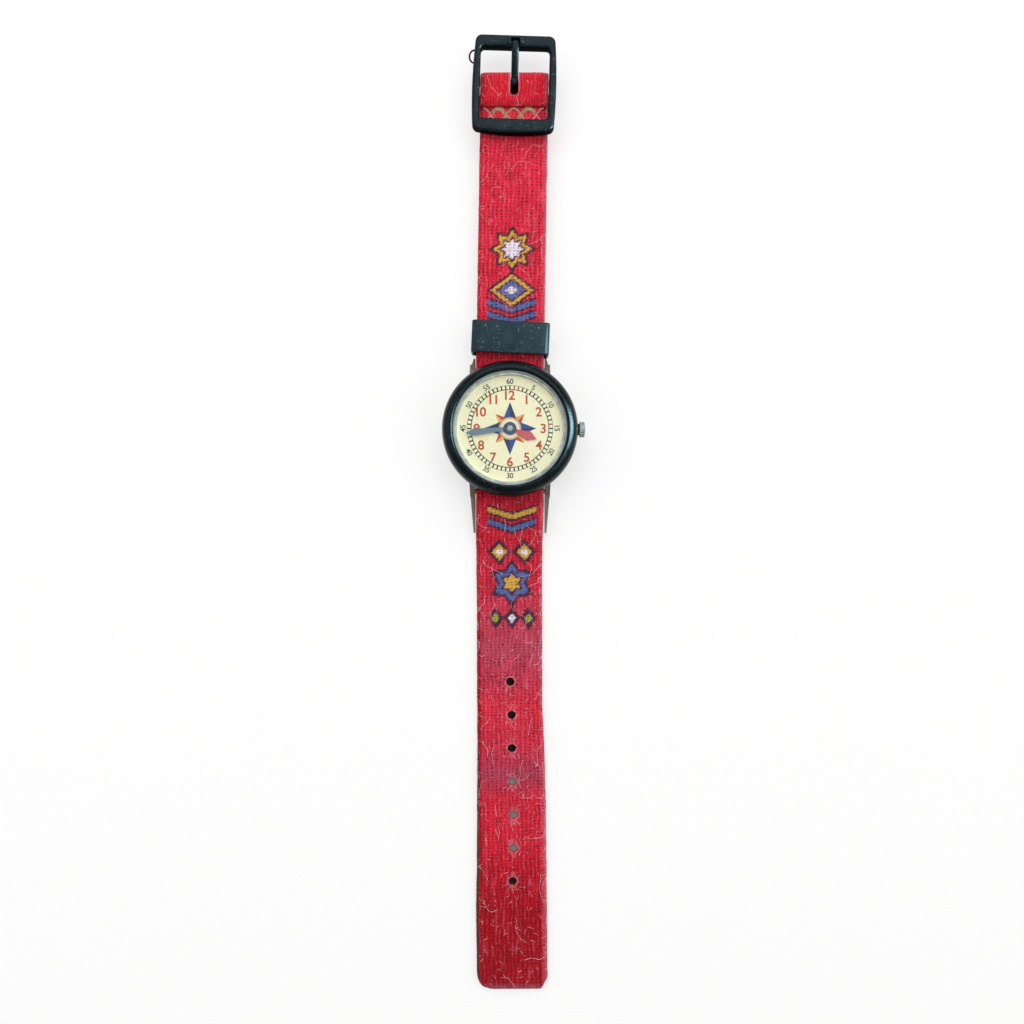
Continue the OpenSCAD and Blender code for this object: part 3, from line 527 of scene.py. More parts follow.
def half_widths(s, side):
    """Left and right half widths, with worn edges and the tip's corners."""
    base = STRAP_W / 2 - EDGE_INSET
    left = base + 0.07 * wob(s * 0.42, 1.7, 3 + side) + 0.05 * wob(s * 2.4, 9.2, 5 + side)
    right = base + 0.07 * wob(s * 0.37, 6.1, 8 + side) + 0.05 * wob(s * 2.2, 2.2, 6 + side)
    if side > 0 and s > FOLD_START:
        return min(left, FOLD_HALF), min(right, FOLD_HALF)
    if side > 0:
        wide = clamp(min((s - WIDE_START) / WIDE_EASE, (FOLD_START - s) / WIDE_EASE))
        return left + WIDE_LEFT * wide, right + WIDE_RIGHT * wide
    out_left, out_right = look_up(SPREAD, s)
    left, right = left + out_left, right + out_right
    d = TIP - s
    radius, share = ROUND_CORNER
    if d < radius:
        left -= share * (radius - math.sqrt(max(0.0, radius ** 2 - (radius - d) ** 2)))
    length, share = CUT_CORNER
    if d < length:
        right -= share * (length - d) + 0.12 * wob(s * 3.0, 4.4, 41)
    return left, right


# printed motifs: a generic set of stars, lozenges and chevrons, in mm from the motif's middle

NAVY, BLUE, YELLOW = lin(28, 38, 58), lin(28, 104, 160), lin(200, 168, 62)
WHITE, LEAF = lin(226, 226, 238), lin(140, 160, 60)
OUTLINE = 0.5


def first_inside(d, fills, size=1.0):
    """The first colour whose limit lies beyond d."""
    return next((colour for limit, colour in fills if d < limit * size), None)


def lozenge(x, y, w, h, fills):
    return first_inside(abs(x) / w + abs(y) / h, fills)


def star(x, y, points, fills, inner=0.62):
    a = math.atan2(x, y) % (2 * math.pi / points)
    a = min(a, 2 * math.pi / points - a) / (math.pi / points)
    return first_inside(math.hypot(x, y), fills, 1 - (1 - inner) * a ** 0.8)


def chevron(x, y, drop, fill, half=5.0, thick=1.0):
    if abs(x) > half:
        return None
    d = y + drop * abs(x) / half
    return first_inside(abs(d), [(thick / 2, fill), (thick / 2 + OUTLINE, NAVY)])


def motif_upper(x, s):
    """Star, lozenge and two chevrons on the buckle side."""
    yield star(x, s - 37.0, 8, [(2.2, WHITE), (2.9, NAVY), (4.0, YELLOW), (5.0, NAVY)])
    yield lozenge(x, s - 28.6, 5.2, 3.9, [(0.24, WHITE), (0.52, BLUE), (0.64, NAVY), (0.84, YELLOW),
                                          (1.0, NAVY)])
    for level in (24.6, 22.2):
        yield chevron(x, s - level, -1.6, BLUE)


def motif_lower(x, s):
    """Two chevrons, lozenges and a star on the hole side."""
    for level, fill in ((17.6, YELLOW), (20.1, BLUE)):
        yield chevron(x, s - level, 1.6, fill)
    for cx in (-2.6, 2.6):
        yield lozenge(x - cx, s - 24.9, 2.6, 2.9, [(0.3, WHITE), (0.6, YELLOW), (1.0, NAVY)])
    yield star(x, s - 31.4, 6, [(1.9, YELLOW), (2.6, NAVY), (3.9, BLUE), (5.0, NAVY)])
    for cx, fill in ((-3.4, LEAF), (0.0, WHITE), (3.4, LEAF)):
        yield lozenge(x - cx, s - 38.6, 1.75, 2.4, [(0.45, fill), (1.0, NAVY)])


# the dye along each side: s, then sRGB; darker towards and under the case, which is painted shade from the
# case; soiled near the holes, dark and frayed at the tip
LOW_TONES = [(0, 144, 6, 20), (13, 184, 16, 38), (30, 192, 30, 52), (38, 186, 50, 70), (45, 174, 62, 84),
             (52, 184, 46, 68), (57, 204, 38, 58), (66, 190, 40, 62), (71, 164, 56, 80), (76, 196, 32, 52),
             (85, 196, 26, 46), (92, 174, 12, 32), (100, 156, 4, 20), (TIP - 1.3, 150, 8, 24),
             (TIP - 0.7, 140, 58, 70), (TIP, 146, 66, 80)]
UP_TONES = [(0, 144, 6, 20), (13, 184, 20, 40), (22, 200, 32, 54), (60, 206, 34, 56), (71, 208, 32, 52),
            (73, 204, 22, 40), (90, 200, 20, 38)]
PRINT_START, PRINT_END = 14, 44
# the pale right edge is a painted highlight, where light from the right falls on the edge's rounding
STREAK, RIGHT_EDGE_HIGHLIGHT, BROWN_EDGE = lin(226, 110, 126), lin(226, 96, 116), lin(120, 60, 54)
TAIL_EDGE, TAIL_LINE = lin(104, 44, 40), lin(164, 20, 34)
# x where the edges' colours start, and s where the tail's dark left edge does
BROWN_X, HIGHLIGHT_X, TAIL_X, TAIL_S = -6.6, 6.2, (-6.65, -6.25, -6.0), 36
CREST, CREST_S, CREST_HALF = lin(230, 122, 132), 74.2, 1.6
# the slot's near-black patch is painted shade, on the cloth seen through the tongue's slot
SLOT_SHADE, SLOT_RIM = lin(22, 12, 14), lin(238, 140, 154)
SLOT_SHADE_START, SLOT_SHADE_HALF, SLOT_MOUTH = 67.2, 1.15, 72.8
HOLE_RIM, HOLE_HALO = lin(222, 140, 150), lin(196, 96, 110)
# painted shade: the tone seen through each hole, for the disc put in it
HOLE_SHADE_TONES = [lin(30, 20, 13)] * 3 + [lin(174, 176, 172)] * 3 + [lin(50, 36, 22)]


def cloth_colour(x, s, side, back):
    """Dyed and printed colour at one point of the cloth, with painted shade near the case and in the
    tongue's slot, and a painted highlight on the right edge.
    """
    base = lin(*look_up(UP_TONES if side > 0 else LOW_TONES, s))
    shade = 1 + 0.2 * wob(x * 0.35, s * 0.2, 11) + 0.14 * wob(x * 1.3, s * 1.1, 13)
    base = tuple(c * shade for c in base)
    found = None
    if not back and PRINT_START < s < PRINT_END:
        cx = x - (0.4 if side < 0 else 0.1) + 0.1 * wob(x * 1.5, s * 1.5, 16)
        found = next(filter(None, (motif_upper if side > 0 else motif_lower)(cx, s)), None)
    if found:
        fade = 0.1 + 0.2 * max(0.0, wob(x * 0.9, s * 0.9, 17))
        base = blend_colour(found, base, fade)
    streak = wob(x * 1.4, s * 0.22, 19)
    if streak > 0.25:
        base = blend_colour(base, STREAK, 0.5 * (streak - 0.25))
    if side < 0 and x < TAIL_X[2] and s > TAIL_S:
        inner = TAIL_LINE if x < TAIL_X[1] else tuple(c * 0.7 for c in base)
        base = TAIL_EDGE if x < TAIL_X[0] else inner
    elif x < BROWN_X:
        base = blend_colour(base, BROWN_EDGE, 0.5)
    # painted highlight along the right edge's rounding
    elif x > HIGHLIGHT_X:
        base = blend_colour(base, RIGHT_EDGE_HIGHLIGHT, 0.45)
    crest = 1 - abs(s - CREST_S) / CREST_HALF
    if side > 0 and crest > 0:
        base = blend_colour(base, CREST, crest * (0.35 + 0.3 * wob(x * 0.9, 4.0, 21)))
    # painted shade: the cloth under the tongue's slot is painted near black
    if side > 0 and SLOT_SHADE_START < s < SLOT_MOUTH and abs(x) < SLOT_SHADE_HALF:
        base = SLOT_SHADE
    if side > 0 and s > SLOT_MOUTH:
        rim = math.hypot(x, max(0.0, s - SLOT_END)) - 0.8
        worn = 0.6 if x < 0 else 0.35
        base = blend_colour(base, SLOT_RIM, worn * (1 - abs(rim - 0.1) / 0.4))
    if side < 0 and not back:
        for k, (cx, h) in enumerate(HOLE_PLACES):
            rim = math.hypot(x - cx, s - h)
            halo = abs(x - cx) / 1.35 + abs(s - h) / 2.3
            if rim < HOLE_R + 0.25:
                base = blend_colour(base, HOLE_RIM, 0.45)
            elif halo < 1:
                base = blend_colour(base, HOLE_HALO, 0.14 + 0.06 * k)
    return tuple(clamp(c) for c in base)


# loose fibres in mm: their lengths and radii, the fringe of a hole, and the margin kept at a stretch's ends
LINT_LENGTH, THREAD_LENGTH, FRINGE_LENGTH = (0.4, 1.3), (2.5, 7.0), (0.5, 1.1)
FIBRE_R, FRINGE_R, FRINGE_COUNT = (0.022, 0.034), 0.026, 9
FIBRE_START, FIBRE_MARGIN = 14.0, 0.4
FIBRE_TINT = lin(240, 205, 210)
BARE_HALF, BARE_START, BARE_END = 1.2, 65.5, 80  # no fibres round the slot
BACK_START = 73  # past the buckle's bar the cloth shows its back


def loose_fibres(route, low, high, short, long):
    """Short lint and long meandering threads, as points on the cloth."""
    side = route.side
    first = max(low, FIBRE_START) + FIBRE_MARGIN
    paths = []
    for k in range(short + long):
        s = rng.uniform(first, high - FIBRE_MARGIN)
        limit = half_widths(s, side)[0] - 0.3
        x = rng.choice((-1, 1)) * limit if rng.random() < 0.3 else rng.uniform(-limit, limit)
        length = rng.uniform(*(THREAD_LENGTH if k >= short else LINT_LENGTH))
        heading = rng.gauss(math.pi / 2, 0.4) if k >= short else rng.uniform(0, math.pi)
        paths.append((x, s, heading, length, rng.uniform(*FIBRE_R), rng.uniform(-1.0, 1.0)))
    for cx, h in route.holes:
        for k in range(FRINGE_COUNT):
            a = rng.choice((math.pi / 2, -math.pi / 2)) + rng.gauss(0, 0.5)
            r = rng.uniform(1.1, 1.7)
            if low < h < high:
                place = (cx + r * math.cos(a), h + r * math.sin(a))
                paths.append((*place, a, rng.uniform(*FRINGE_LENGTH), FRINGE_R, 0.4))
    for x, s, heading, length, radius, curl in paths:
        count = max(4, round(length / STEP))
        points, a, clear = [], heading, True
        for k in range(count + 1):
            # fibres that would cross a hole or the slot are left out
            if side > 0:
                clear = clear and not (abs(x) < BARE_HALF and BARE_START < s < BARE_END)
            clear = clear and all(math.hypot(x - cx, s - h) > HOLE_R for cx, h in route.holes)
            across = min(STRAP_W / 2 - 0.05, max(0.05 - STRAP_W / 2, x))
            along = min(high - 0.05, max(low + 0.05, s))
            off = STRAP_T / 2 + 0.03 - (0.25 if abs(across) > STRAP_W / 2 - 0.2 else 0)
            off = -off if side > 0 and s >= BACK_START else off
            points.append(route.point(route.at(along), across, off))
            a += rng.uniform(-0.4, 0.4) + curl * 0.04
            x, s = x + math.cos(a) * length / count, s + math.sin(a) * length / count
        if clear:
            yield points, radius


COLUMNS = 50
HOLE_PULL = (0.3, HOLE_R + 0.17)  # points this far from a hole's middle move onto its rim
# the painted-shade disc in each hole: its sides, and its lift off the cloth's bottom
SHADE_DISC_SIDES, SHADE_DISC_LIFT = 24, 0.2


def ribbon(name, route, low, high, caps, short, long):
    """One stretch of strap as a textile slab with holes, worn edges and loose fibres."""
    rows = route.between(low, high)
    side = route.side
    verts, flat, colours = [], [], []
    for row in rows:
        s = row[0]
        left, right = half_widths(s, side)
        thin = 1 - 0.6 * clamp((s - FLAP_END + 1.1) / 1.1) ** 2 if side > 0 else 1
        for way in (1, -1):
            for j in range(COLUMNS + 1):
                u = -1 + 2 * j / COLUMNS
                x, y = u * (right if u > 0 else left), s
                for cx, h in route.holes:
                    d = math.hypot(x - cx, s - h)
                    if HOLE_PULL[0] < d < HOLE_PULL[1]:
                        target = HOLE_R + 0.04 * wob(x * 3, s * 3, 23)
                        x, y = cx + (x - cx) * target / d, h + (s - h) * target / d
                thick = (STRAP_T / 2 - 0.03) * (1 - 0.55 * abs(u) ** 14) * thin
                bulge = abs(0.05 * wob(x * 0.3, s * 0.16, 29)) if way > 0 and s > 12.5 else 0
                fine = 0.03 * wob(x * 1.6, s * 1.5, 31)
                place = row if y == s else (y, row[1] + (y - s), *row[2:])
                verts.append(route.point(place, x, way * thick + bulge + fine))
                flat.append((x, side * s))
                colours.append(cloth_colour(x, s, side, way < 0))
    width = COLUMNS + 1

    def top(i, j):
        return i * 2 * width + j

    def bot(i, j):
        return i * 2 * width + width + j

    def gone(i, j):
        """True inside a hole or the tongue's slot."""
        x = (flat[top(i, j)][0] + flat[top(i, j + 1)][0]) / 2
        s = (rows[i][0] + rows[i + 1][0]) / 2
        if side > 0:
            end = SLOT_HALF * max(0.0, 1 - max(0.0, (s - SLOT_END) / SLOT_ROUND) ** 3) ** (1 / 3)
            return SLOT_START < s and abs(x) < end
        return any(math.hypot(x - cx, s - h) < HOLE_R - 0.01 for cx, h in route.holes)

    last = len(rows) - 1
    kept = {(i, j) for i in range(last) for j in range(COLUMNS) if not gone(i, j)}
    faces, kinds = [], []

    def face(loop, kind=0):
        faces.append(loop if side > 0 else tuple(reversed(loop)))
        kinds.append(kind)

    for i, j in sorted(kept):
        face((top(i, j), top(i, j + 1), top(i + 1, j + 1), top(i + 1, j)))
        face((bot(i, j), bot(i + 1, j), bot(i + 1, j + 1), bot(i, j + 1)))
        walls = [((i, j - 1), (top(i, j), top(i + 1, j), bot(i + 1, j), bot(i, j))),
                 ((i, j + 1), (top(i, j + 1), bot(i, j + 1), bot(i + 1, j + 1), top(i + 1, j + 1))),
                 ((i + 1, j), (top(i + 1, j), top(i + 1, j + 1), bot(i + 1, j + 1), bot(i + 1, j))),
                 ((i - 1, j), (top(i, j + 1), top(i, j), bot(i, j), bot(i, j + 1)))]
        for beside, loop in walls:
            open_end = beside[0] < 0 and not caps[0] or beside[0] >= last and not caps[1]
            if beside not in kept and not open_end:
                face(loop)

    # painted shade: a flat disc low in each hole, in the tone seen through it
    for k, (cx, h) in enumerate(route.holes):
        if low < h < high:
            start, radius = len(verts), HOLE_R + 0.05
            for a in around(SHADE_DISC_SIDES):
                x, s = cx + radius * math.cos(a), h + radius * math.sin(a)
                verts.append(route.point(route.at(s), x, -STRAP_T / 2 + SHADE_DISC_LIFT))
                flat.append((x, -s))
                colours.append(HOLE_SHADE_TONES[k])
            face(tuple(range(start, start + SHADE_DISC_SIDES)), 2)

    for points, radius in loose_fibres(route, low, high, short, long):
        more, loops = tube(points, radius, 3)
        start = len(verts)
        verts.extend(more)
        flat.extend([(0.0, 0.0)] * len(more))
        colours.extend([FIBRE_TINT] * len(more))
        faces.extend(tuple(start + k for k in loop) for loop in loops)
        kinds.extend([1] * len(loops))

    obj = make(name, verts, faces, [MATS["textile_red"], LINT, HOLE_SHADE], kinds, 55)
    mesh = obj.data
    mesh.uv_layers.new(name="flat")
    mesh.color_attributes.new("cloth", "FLOAT_COLOR", "POINT")
    uvs = [part for loop in mesh.loops for part in flat[loop.vertex_index]]
    paint = [part for colour in colours for part in (*colour, 1.0)]
    mesh.uv_layers["flat"].data.foreach_set("uv", uvs)
    mesh.color_attributes["cloth"].data.foreach_set("color", paint)
    return obj


def over_bar(obj):
    """Bakes a strap's placement into its mesh."""
    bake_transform(obj)


strap = ribbon("strap_buckle_side", upper, START, FLAP_END, (False, True), 150, 34)
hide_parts("upper_strap", "strap_centre")
over_bar(strap)
# each stretch of the hole side: its ends, and its counts of lint and of long threads
stretches = [(START, 24.5, 30, 10), (24.5, 49.4, 80, 26), (49.4, 75.8, 90, 18), (75.8, TIP, 170, 14)]
for i, (low, high, short, long) in enumerate(stretches):
    piece = ribbon(f"strap_hole_side_{i + 1}", lower, low, high, (False, high == TIP), short, long)
    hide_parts(f"lower_strap_{i + 1}")
    if i == 0:
        over_bar(piece)
    else:
        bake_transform(piece)


# hard pieces with softened edges

def outline(h0, hm, h1, y0, y1, r, bow=0):
    """Closed outline: half widths at the near edge, middle and far edge, and a bowed near edge."""
    n, m = 12, 6

    def flank(t, sign):
        x = h0 + (h1 - h0) * t + (hm - (h0 + h1) / 2) * 4 * t * (1 - t)
        return (sign * x, y0 + r + (y1 - y0 - 2 * r) * t)

    def corner(x, y, a):
        turns = [a + i * math.pi / 2 / m for i in range(m)]
        return [(x + r * math.cos(b), y + r * math.sin(b)) for b in turns]

    points = [flank(i / n, 1) for i in range(n)]
    points += corner(h1 - r, y1 - r, 0)
    points += [((h1 - r) * (1 - 2 * i / n), y1) for i in range(n)]
    points += corner(-h1 + r, y1 - r, math.pi / 2)
    points += [flank(1 - i / n, -1) for i in range(n)]
    points += corner(-h0 + r, y0 + r, math.pi)
    points += [((h0 - r) * (2 * i / n - 1), y0 - bow * (1 - (2 * i / n - 1) ** 2)) for i in range(n)]
    points += corner(h0 - r, y0 + r, 3 * math.pi / 2)
    return points


def oblong(half, y0, y1, r):
    return outline(half, half, half, y0, y1, r)


def rounded(bm, width, segments=2, angle=60):
    """Rounds every edge sharper than the angle."""
    bm.normal_update()
    edges = [e for e in bm.edges
             if len(e.link_faces) == 2 and e.calc_face_angle(0) > math.radians(angle)]
    bmesh.ops.bevel(bm, geom=edges, offset=width * MM, segments=segments, profile=0.5, affect="EDGES",
                    clamp_overlap=True)


def skin(bm, points, sides, closed=False):
    """Faces over rings of points in mm, with a cap at both ends unless the rings close."""
    verts = [bm.verts.new(Vector(p) * MM) for p in points]
    for quad in sleeve(len(verts) // sides, sides, closed):
        bm.faces.new([verts[k] for k in quad])
    if not closed:
        bm.faces.new(list(reversed(verts[:sides])))
        bm.faces.new(verts[-sides:])


def ring_plate(bm, outer, inner, z0, z1):
    """A plate between two matched outlines."""
    loops = ((outer, z0), (outer, z1), (inner, z1), (inner, z0))
    skin(bm, [(x, y, z) for points, z in loops for x, y in points], len(outer), True)


def prism(bm, profile, x0, x1):
    """A profile in y and z, drawn out along x."""
    skin(bm, [(x, y, z) for x in (x0, x1) for y, z in profile], len(profile))


def add_prism(bm, matrix, profile, middle, half, width, angle=60):
    """Adds a rounded and placed prism to a shape."""
    part = bmesh.new()
    prism(part, profile, middle - half, middle + half)
    rounded(part, width, angle=angle)
    part.transform(matrix)
    spare = bpy.data.meshes.new("spare")
    part.to_mesh(spare)
    part.free()
    bm.from_mesh(spare)
    bpy.data.meshes.remove(spare)


def to_mesh(name, bm, matrix):
    bmesh.ops.recalc_face_normals(bm, faces=bm.faces)
    bm.transform(matrix)
    mesh = bpy.data.meshes.new(name)
    bm.to_mesh(mesh)
    bm.free()
    return mesh


SHARP = math.radians(35)


def moulded(name, bm, matrix, material, body, node):
    """A piece of black plastic that stands for a node."""
    mesh = to_mesh(name, bm, matrix)
    mesh.materials.append(material)
    mesh.polygons.foreach_set("use_smooth", [True] * len(mesh.polygons))
    mesh.update()
    mesh.set_sharp_from_angle(angle=SHARP)
    obj = put(name, mesh)
    belongs(obj, body, "buckle_black", node)
    return obj


def placed(x, y, z, turn):
    return Matrix.Translation(Vector((x, y, z)) * MM) @ Matrix.Rotation(turn, 4, "Z")


# keeper: a rounded loop of plastic, drawn lying and stood up
bm = bmesh.new()
ring_plate(bm, oblong(7.9, -2.65, 2.65, 0.85), oblong(7.42, -1.95, 1.95, 0.3), -3.25, 3.25)
rounded(bm, 0.45, 4)
stand = placed((KEEPER_Y - LUG_Y) * LEAN, KEEPER_Y, KEEPER_Z, KEEPER_TURN)
stand = stand @ Matrix.Rotation(math.pi / 2, 4, "X")
moulded("keeper_loop", bm, stand, KEEPER_PLASTIC, "keeper", "keeper")

# buckle frame: a ring notched in its far bar, with ears that hold the bar and cheeks beside the notch
FRAME_LOW, FRAME_HIGH = 3.35, 5.65
EAR_X, EAR_R, EAR_TOP = 7.75, 1.05, 3.6
at_buckle = placed(BUCKLE_X, BUCKLE_Y, 0, BUCKLE_TURN)
bm = bmesh.new()
ring_plate(bm, outline(8.3, 8.5, 8.1, -11.3, 7.9, 1.3, 0.5), oblong(7.0, -8.9, 5.5, 0.8),
           FRAME_LOW, FRAME_HIGH)
rounded(bm, 0.5, 4)
ring = put("ring", to_mesh("ring", bm, at_buckle))
bm = bmesh.new()
prism(bm, [(4.6, 4.5), (7.3, 4.5), (7.3, 6.6), (4.6, 6.6)], -0.86, 0.86)
cutter = put("notch", to_mesh("notch", bm, at_buckle))
cut = ring.modifiers.new("notch", "BOOLEAN")
cut.object, cut.operation, cut.solver = cutter, "DIFFERENCE", "EXACT"
bpy.context.view_layer.update()
# the ring is cut before it overlaps other shapes, because such a cut can lose one of them
bm = bmesh.new()
bm.from_object(ring, bpy.context.evaluated_depsgraph_get())
bpy.data.objects.remove(ring)
bpy.data.objects.remove(cutter)
turns = [math.radians(180 + 15 * k) for k in range(13)]
ear = [(EAR_R * math.cos(a), BUCKLE_Z + EAR_R * math.sin(a)) for a in turns]
ear += [(EAR_R, EAR_TOP), (-EAR_R, EAR_TOP)]
cheek = [(5.75, 5.2), (7.65, 5.2), (7.4, 5.82), (6.0, 5.82)]
for side in (-1, 1):
    add_prism(bm, at_buckle, ear, side * EAR_X, 0.7, 0.15)
    add_prism(bm, at_buckle, cheek, side * 1.3, 0.42, 0.14, 30)
solid = moulded("buckle_frame_moulded", bm, Matrix(), MATS["buckle_black"], "buckle", "buckle_frame").data
# painted shade: faces that stand upright take the near-black wall plastic
solid.materials.append(BUCKLE_WALL_SHADE)
solid.polygons.foreach_set("material_index", [int(abs(face.normal.z) < 0.3) for face in solid.polygons])

# tongue: an eye round the bar and a rounded arm that rises to the notch
EYE_R, EYE_HOLE_R, EYE_HALF, EYE_SIDES = 1.11, 0.57, 0.76, 32
ARM_SIDES, ARM_ROUND = 16, 0.6
bm = bmesh.new()
eye_out = [(EYE_R * math.cos(a), EYE_R * math.sin(a)) for a in around(EYE_SIDES)]
eye_in = [(EYE_HOLE_R / EYE_R * x, EYE_HOLE_R / EYE_R * y) for x, y in eye_out]
ring_plate(bm, eye_out, eye_in, -EYE_HALF, EYE_HALF)
rounded(bm, 0.16)
bm.transform(Matrix.Translation((0, 0, BUCKLE_Z * MM)) @ Matrix.Rotation(math.pi / 2, 4, "Y"))
# along the arm: y, z, half width and half thickness
spine = [(0.55, 2.72, 0.72, 0.34), (1.4, 3.12, 0.74, 0.36), (2.4, 3.62, 0.74, 0.38), (3.6, 4.2, 0.74, 0.39),
         (4.7, 4.74, 0.74, 0.39), (5.3, 4.95, 0.74, 0.38), (6.2, 4.97, 0.73, 0.38), (6.85, 4.95, 0.7, 0.36),
         (7.15, 4.93, 0.56, 0.26)]
arm = []
for i, (y, z, w, t) in enumerate(spine):
    a, b = spine[max(i - 1, 0)], spine[min(i + 1, len(spine) - 1)]
    tilt = math.atan2(b[1] - a[1], b[0] - a[0])
    for angle in around(ARM_SIDES):
        x = w * math.copysign(abs(math.cos(angle)) ** ARM_ROUND, math.cos(angle))
        up = t * math.copysign(abs(math.sin(angle)) ** ARM_ROUND, math.sin(angle))
        arm.append((x, y - up * math.sin(tilt), z + up * math.cos(tilt)))
skin(bm, arm, ARM_SIDES)
moulded("tongue_moulded", bm, at_buckle, MATS["buckle_black"], "tongue", "buckle_tongue")

# tag loop: a thin cord whose inner strand is tucked under the left rail, with its slack outside
RAIL_X, LOOP_Y, LOOP_Z = -7.75, 4.45, 3.16
CORD_R, CORD_SIDES = 0.18, 8
turns = [math.pi * k / 20 for k in range(21)]
outside = [(-0.6 - math.sin(a), 1.3 * math.cos(a)) for a in turns]
inside = [(-0.3, -1.2), (0.0, -0.95), (0.15, -0.5), (0.2, 0.0), (0.15, 0.5), (0.0, 0.95), (-0.3, 1.2)]
path = [Vector((RAIL_X + x, LOOP_Y + y, LOOP_Z)) for x, y in outside + inside]
path = [at_buckle @ (p * MM) / MM for p in path]
verts = []
for i, p in enumerate(path):
    ahead = (path[(i + 1) % len(path)] - path[i - 1]).normalized()
    flatways = ahead.cross(UP).normalized()
    over = ahead.cross(flatways)
    for a in around(CORD_SIDES):
        verts.append(p + (flatways * math.cos(a) + over * math.sin(a)) * CORD_R)
faces = [(a, d, c, b) for a, b, c, d in sleeve(len(path), CORD_SIDES, True)]
cord_loop = make("tag_loop_cord", verts, faces, [MATS["black_rubber"]])
belongs(cord_loop, "buckle", "black_rubber", "tag_loop")

# bezel: a lathed ring with its crest near the opening, relieved over the crown's collar
COLLAR_R, COLLAR_Z, RELIEF_TOP, TURNS = 1.25, 4.55, 5.9, 240
profile = [(11.4, 6.76), (11.4, 8.4), (11.43, 8.7), (11.53, 8.91), (11.7, 9.0), (11.95, 8.98),
           (12.25, 8.88), (12.55, 8.72), (12.85, 8.48), (13.12, 8.16), (13.34, 7.76), (13.5, 7.3),
           (13.6, 6.85), (13.65, 6.35), (13.65, 5.05), (13.6, 5.0), (12.98, 5.0), (12.95, 5.05),
           (12.95, 6.76)]
verts = []
for a in around(TURNS):
    for r, z in profile:
        y = r * math.sin(a)
        if math.cos(a) > 0 and abs(y) < COLLAR_R and z < RELIEF_TOP:
            z = max(z, COLLAR_Z + math.sqrt(COLLAR_R ** 2 - y * y))
        verts.append((r * math.cos(a), y, z))
rim = make("bezel_ring", verts, sleeve(TURNS, len(profile), True), [MATS["bezel_black"]], None, 40)
bm = bmesh.new()
bm.from_mesh(rim.data)
bmesh.ops.recalc_face_normals(bm, faces=bm.faces)
bm.to_mesh(rim.data)
bm.free()
belongs(rim, "case", "bezel_black", "bezel")

# stitching: satin threads laid across two crossing waves, thin and pale at both ends
SEAM = Vector((BUCKLE_X - 0.2, BUCKLE_Y - 7.25, 3.22))
SEAM_HALF, SEAM_BAND, HALF_WAVES, THREADS = 6.2, 1.4, 4, 60
THICK, THIN, WORN = 0.42, 0.2, 0.14  # half lengths of the satin threads
WORN_FROM = {1: 0.37, -1: 0.14}  # how far from the middle each wave is worn, as a share
THREAD_R, THREAD_RISE = 0.09, (0.07, 0.09)
verts, faces, kinds = [], [], []


def wave(t, sign):
    return Vector((SEAM_HALF * (2 * t - 1), -sign * SEAM_BAND * math.cos(math.pi * HALF_WAVES * t), 0))


for sign in (1, -1):
    for k in range(THREADS):
        t = (k + 0.5) / THREADS
        outer = abs(t - 0.5) > WORN_FROM[sign]
        ahead = (wave(t + 0.01, sign) - wave(t - 0.01, sign)).normalized()
        across = ahead.cross(UP) * (WORN if outer else THICK if sign > 0 else THIN)
        p, slip = SEAM + wave(t, sign), ahead * 0.07
        side, top = UP * THREAD_RISE[0], UP * THREAD_RISE[1]
        points = [p - across - slip, p - across * 0.5 + side, p + top, p + across * 0.5 + side,
                  p + across + slip]
        more, loops = tube(points, THREAD_R * rng.uniform(0.85, 1.1), 5, 0.7)
        faces += [tuple(len(verts) + n for n in loop) for loop in loops]
        kinds += [1 if outer else 0] * len(loops)
        verts += more
stitches = make("fold_embroidery", verts, faces, [MATS["thread_tan"], LINT], kinds)
belongs(stitches, "upper_strap", "thread_tan", "fold_stitching")


# dial printing

HOUR_R, MINUTE_R = 6.66, 9.42
HOUR_SIZE, MINUTE_SIZE = 2.6, 1.5
LAYER, NUMBER_LIFT = 0.008, 0.012


def polar(r, a):
    """Point at a radius and a clockwise angle from twelve."""
    return (r * math.sin(a), r * math.cos(a))


class Print:
    """Flat inked shapes on the dial, in thin layers."""

    def __init__(self):
        self.verts, self.faces, self.kinds, self.inks = [], [], [], {}

    def ink(self, name):
        return self.inks.setdefault(name, len(self.inks))

    def shape(self, points, ink, level):
        start = len(self.verts)
        self.verts += [(x, y, DIAL_TOP + LAYER * level) for x, y in points]
        self.faces.append(tuple(range(start, len(self.verts))))
        self.kinds.append(self.ink(ink))

    def band(self, r0, r1, ink, level, a0=0, a1=360, n=60):
        for k in range(n):
            b0, b1 = (math.radians(a0 + (a1 - a0) * t / n) for t in (k, k + 1))
            self.shape([polar(r0, b0), polar(r0, b1), polar(r1, b1), polar(r1, b0)], ink, level)

    def number(self, text, size, place, turn, ink, weight):
        curve = bpy.data.curves.new("number", "FONT")
        curve.body, curve.size, curve.align_x, curve.align_y = text, size, "CENTER", "CENTER"
        curve.offset, curve.space_character = weight, 0.92
        holder = put("number", curve)
        bpy.context.view_layer.update()
        mesh = bpy.data.meshes.new_from_object(holder.evaluated_get(bpy.context.evaluated_depsgraph_get()))
        xs, ys = ([v.co[axis] for v in mesh.vertices] for axis in (0, 1))
        middle = Vector(((min(xs) + max(xs)) / 2, (min(ys) + max(ys)) / 2, 0))
        spin = Matrix.Rotation(math.radians(turn), 4, "Z")
        start = len(self.verts)
        for v in mesh.vertices:
            p = spin @ (v.co - middle)
            self.verts.append((place[0] + p.x, place[1] + p.y, DIAL_TOP + NUMBER_LIFT))
        for polygon in mesh.polygons:
            self.faces.append(tuple(start + k for k in polygon.vertices))
            self.kinds.append(self.ink(ink))
        bpy.data.objects.remove(holder)
        bpy.data.curves.remove(curve)
        bpy.data.meshes.remove(mesh)


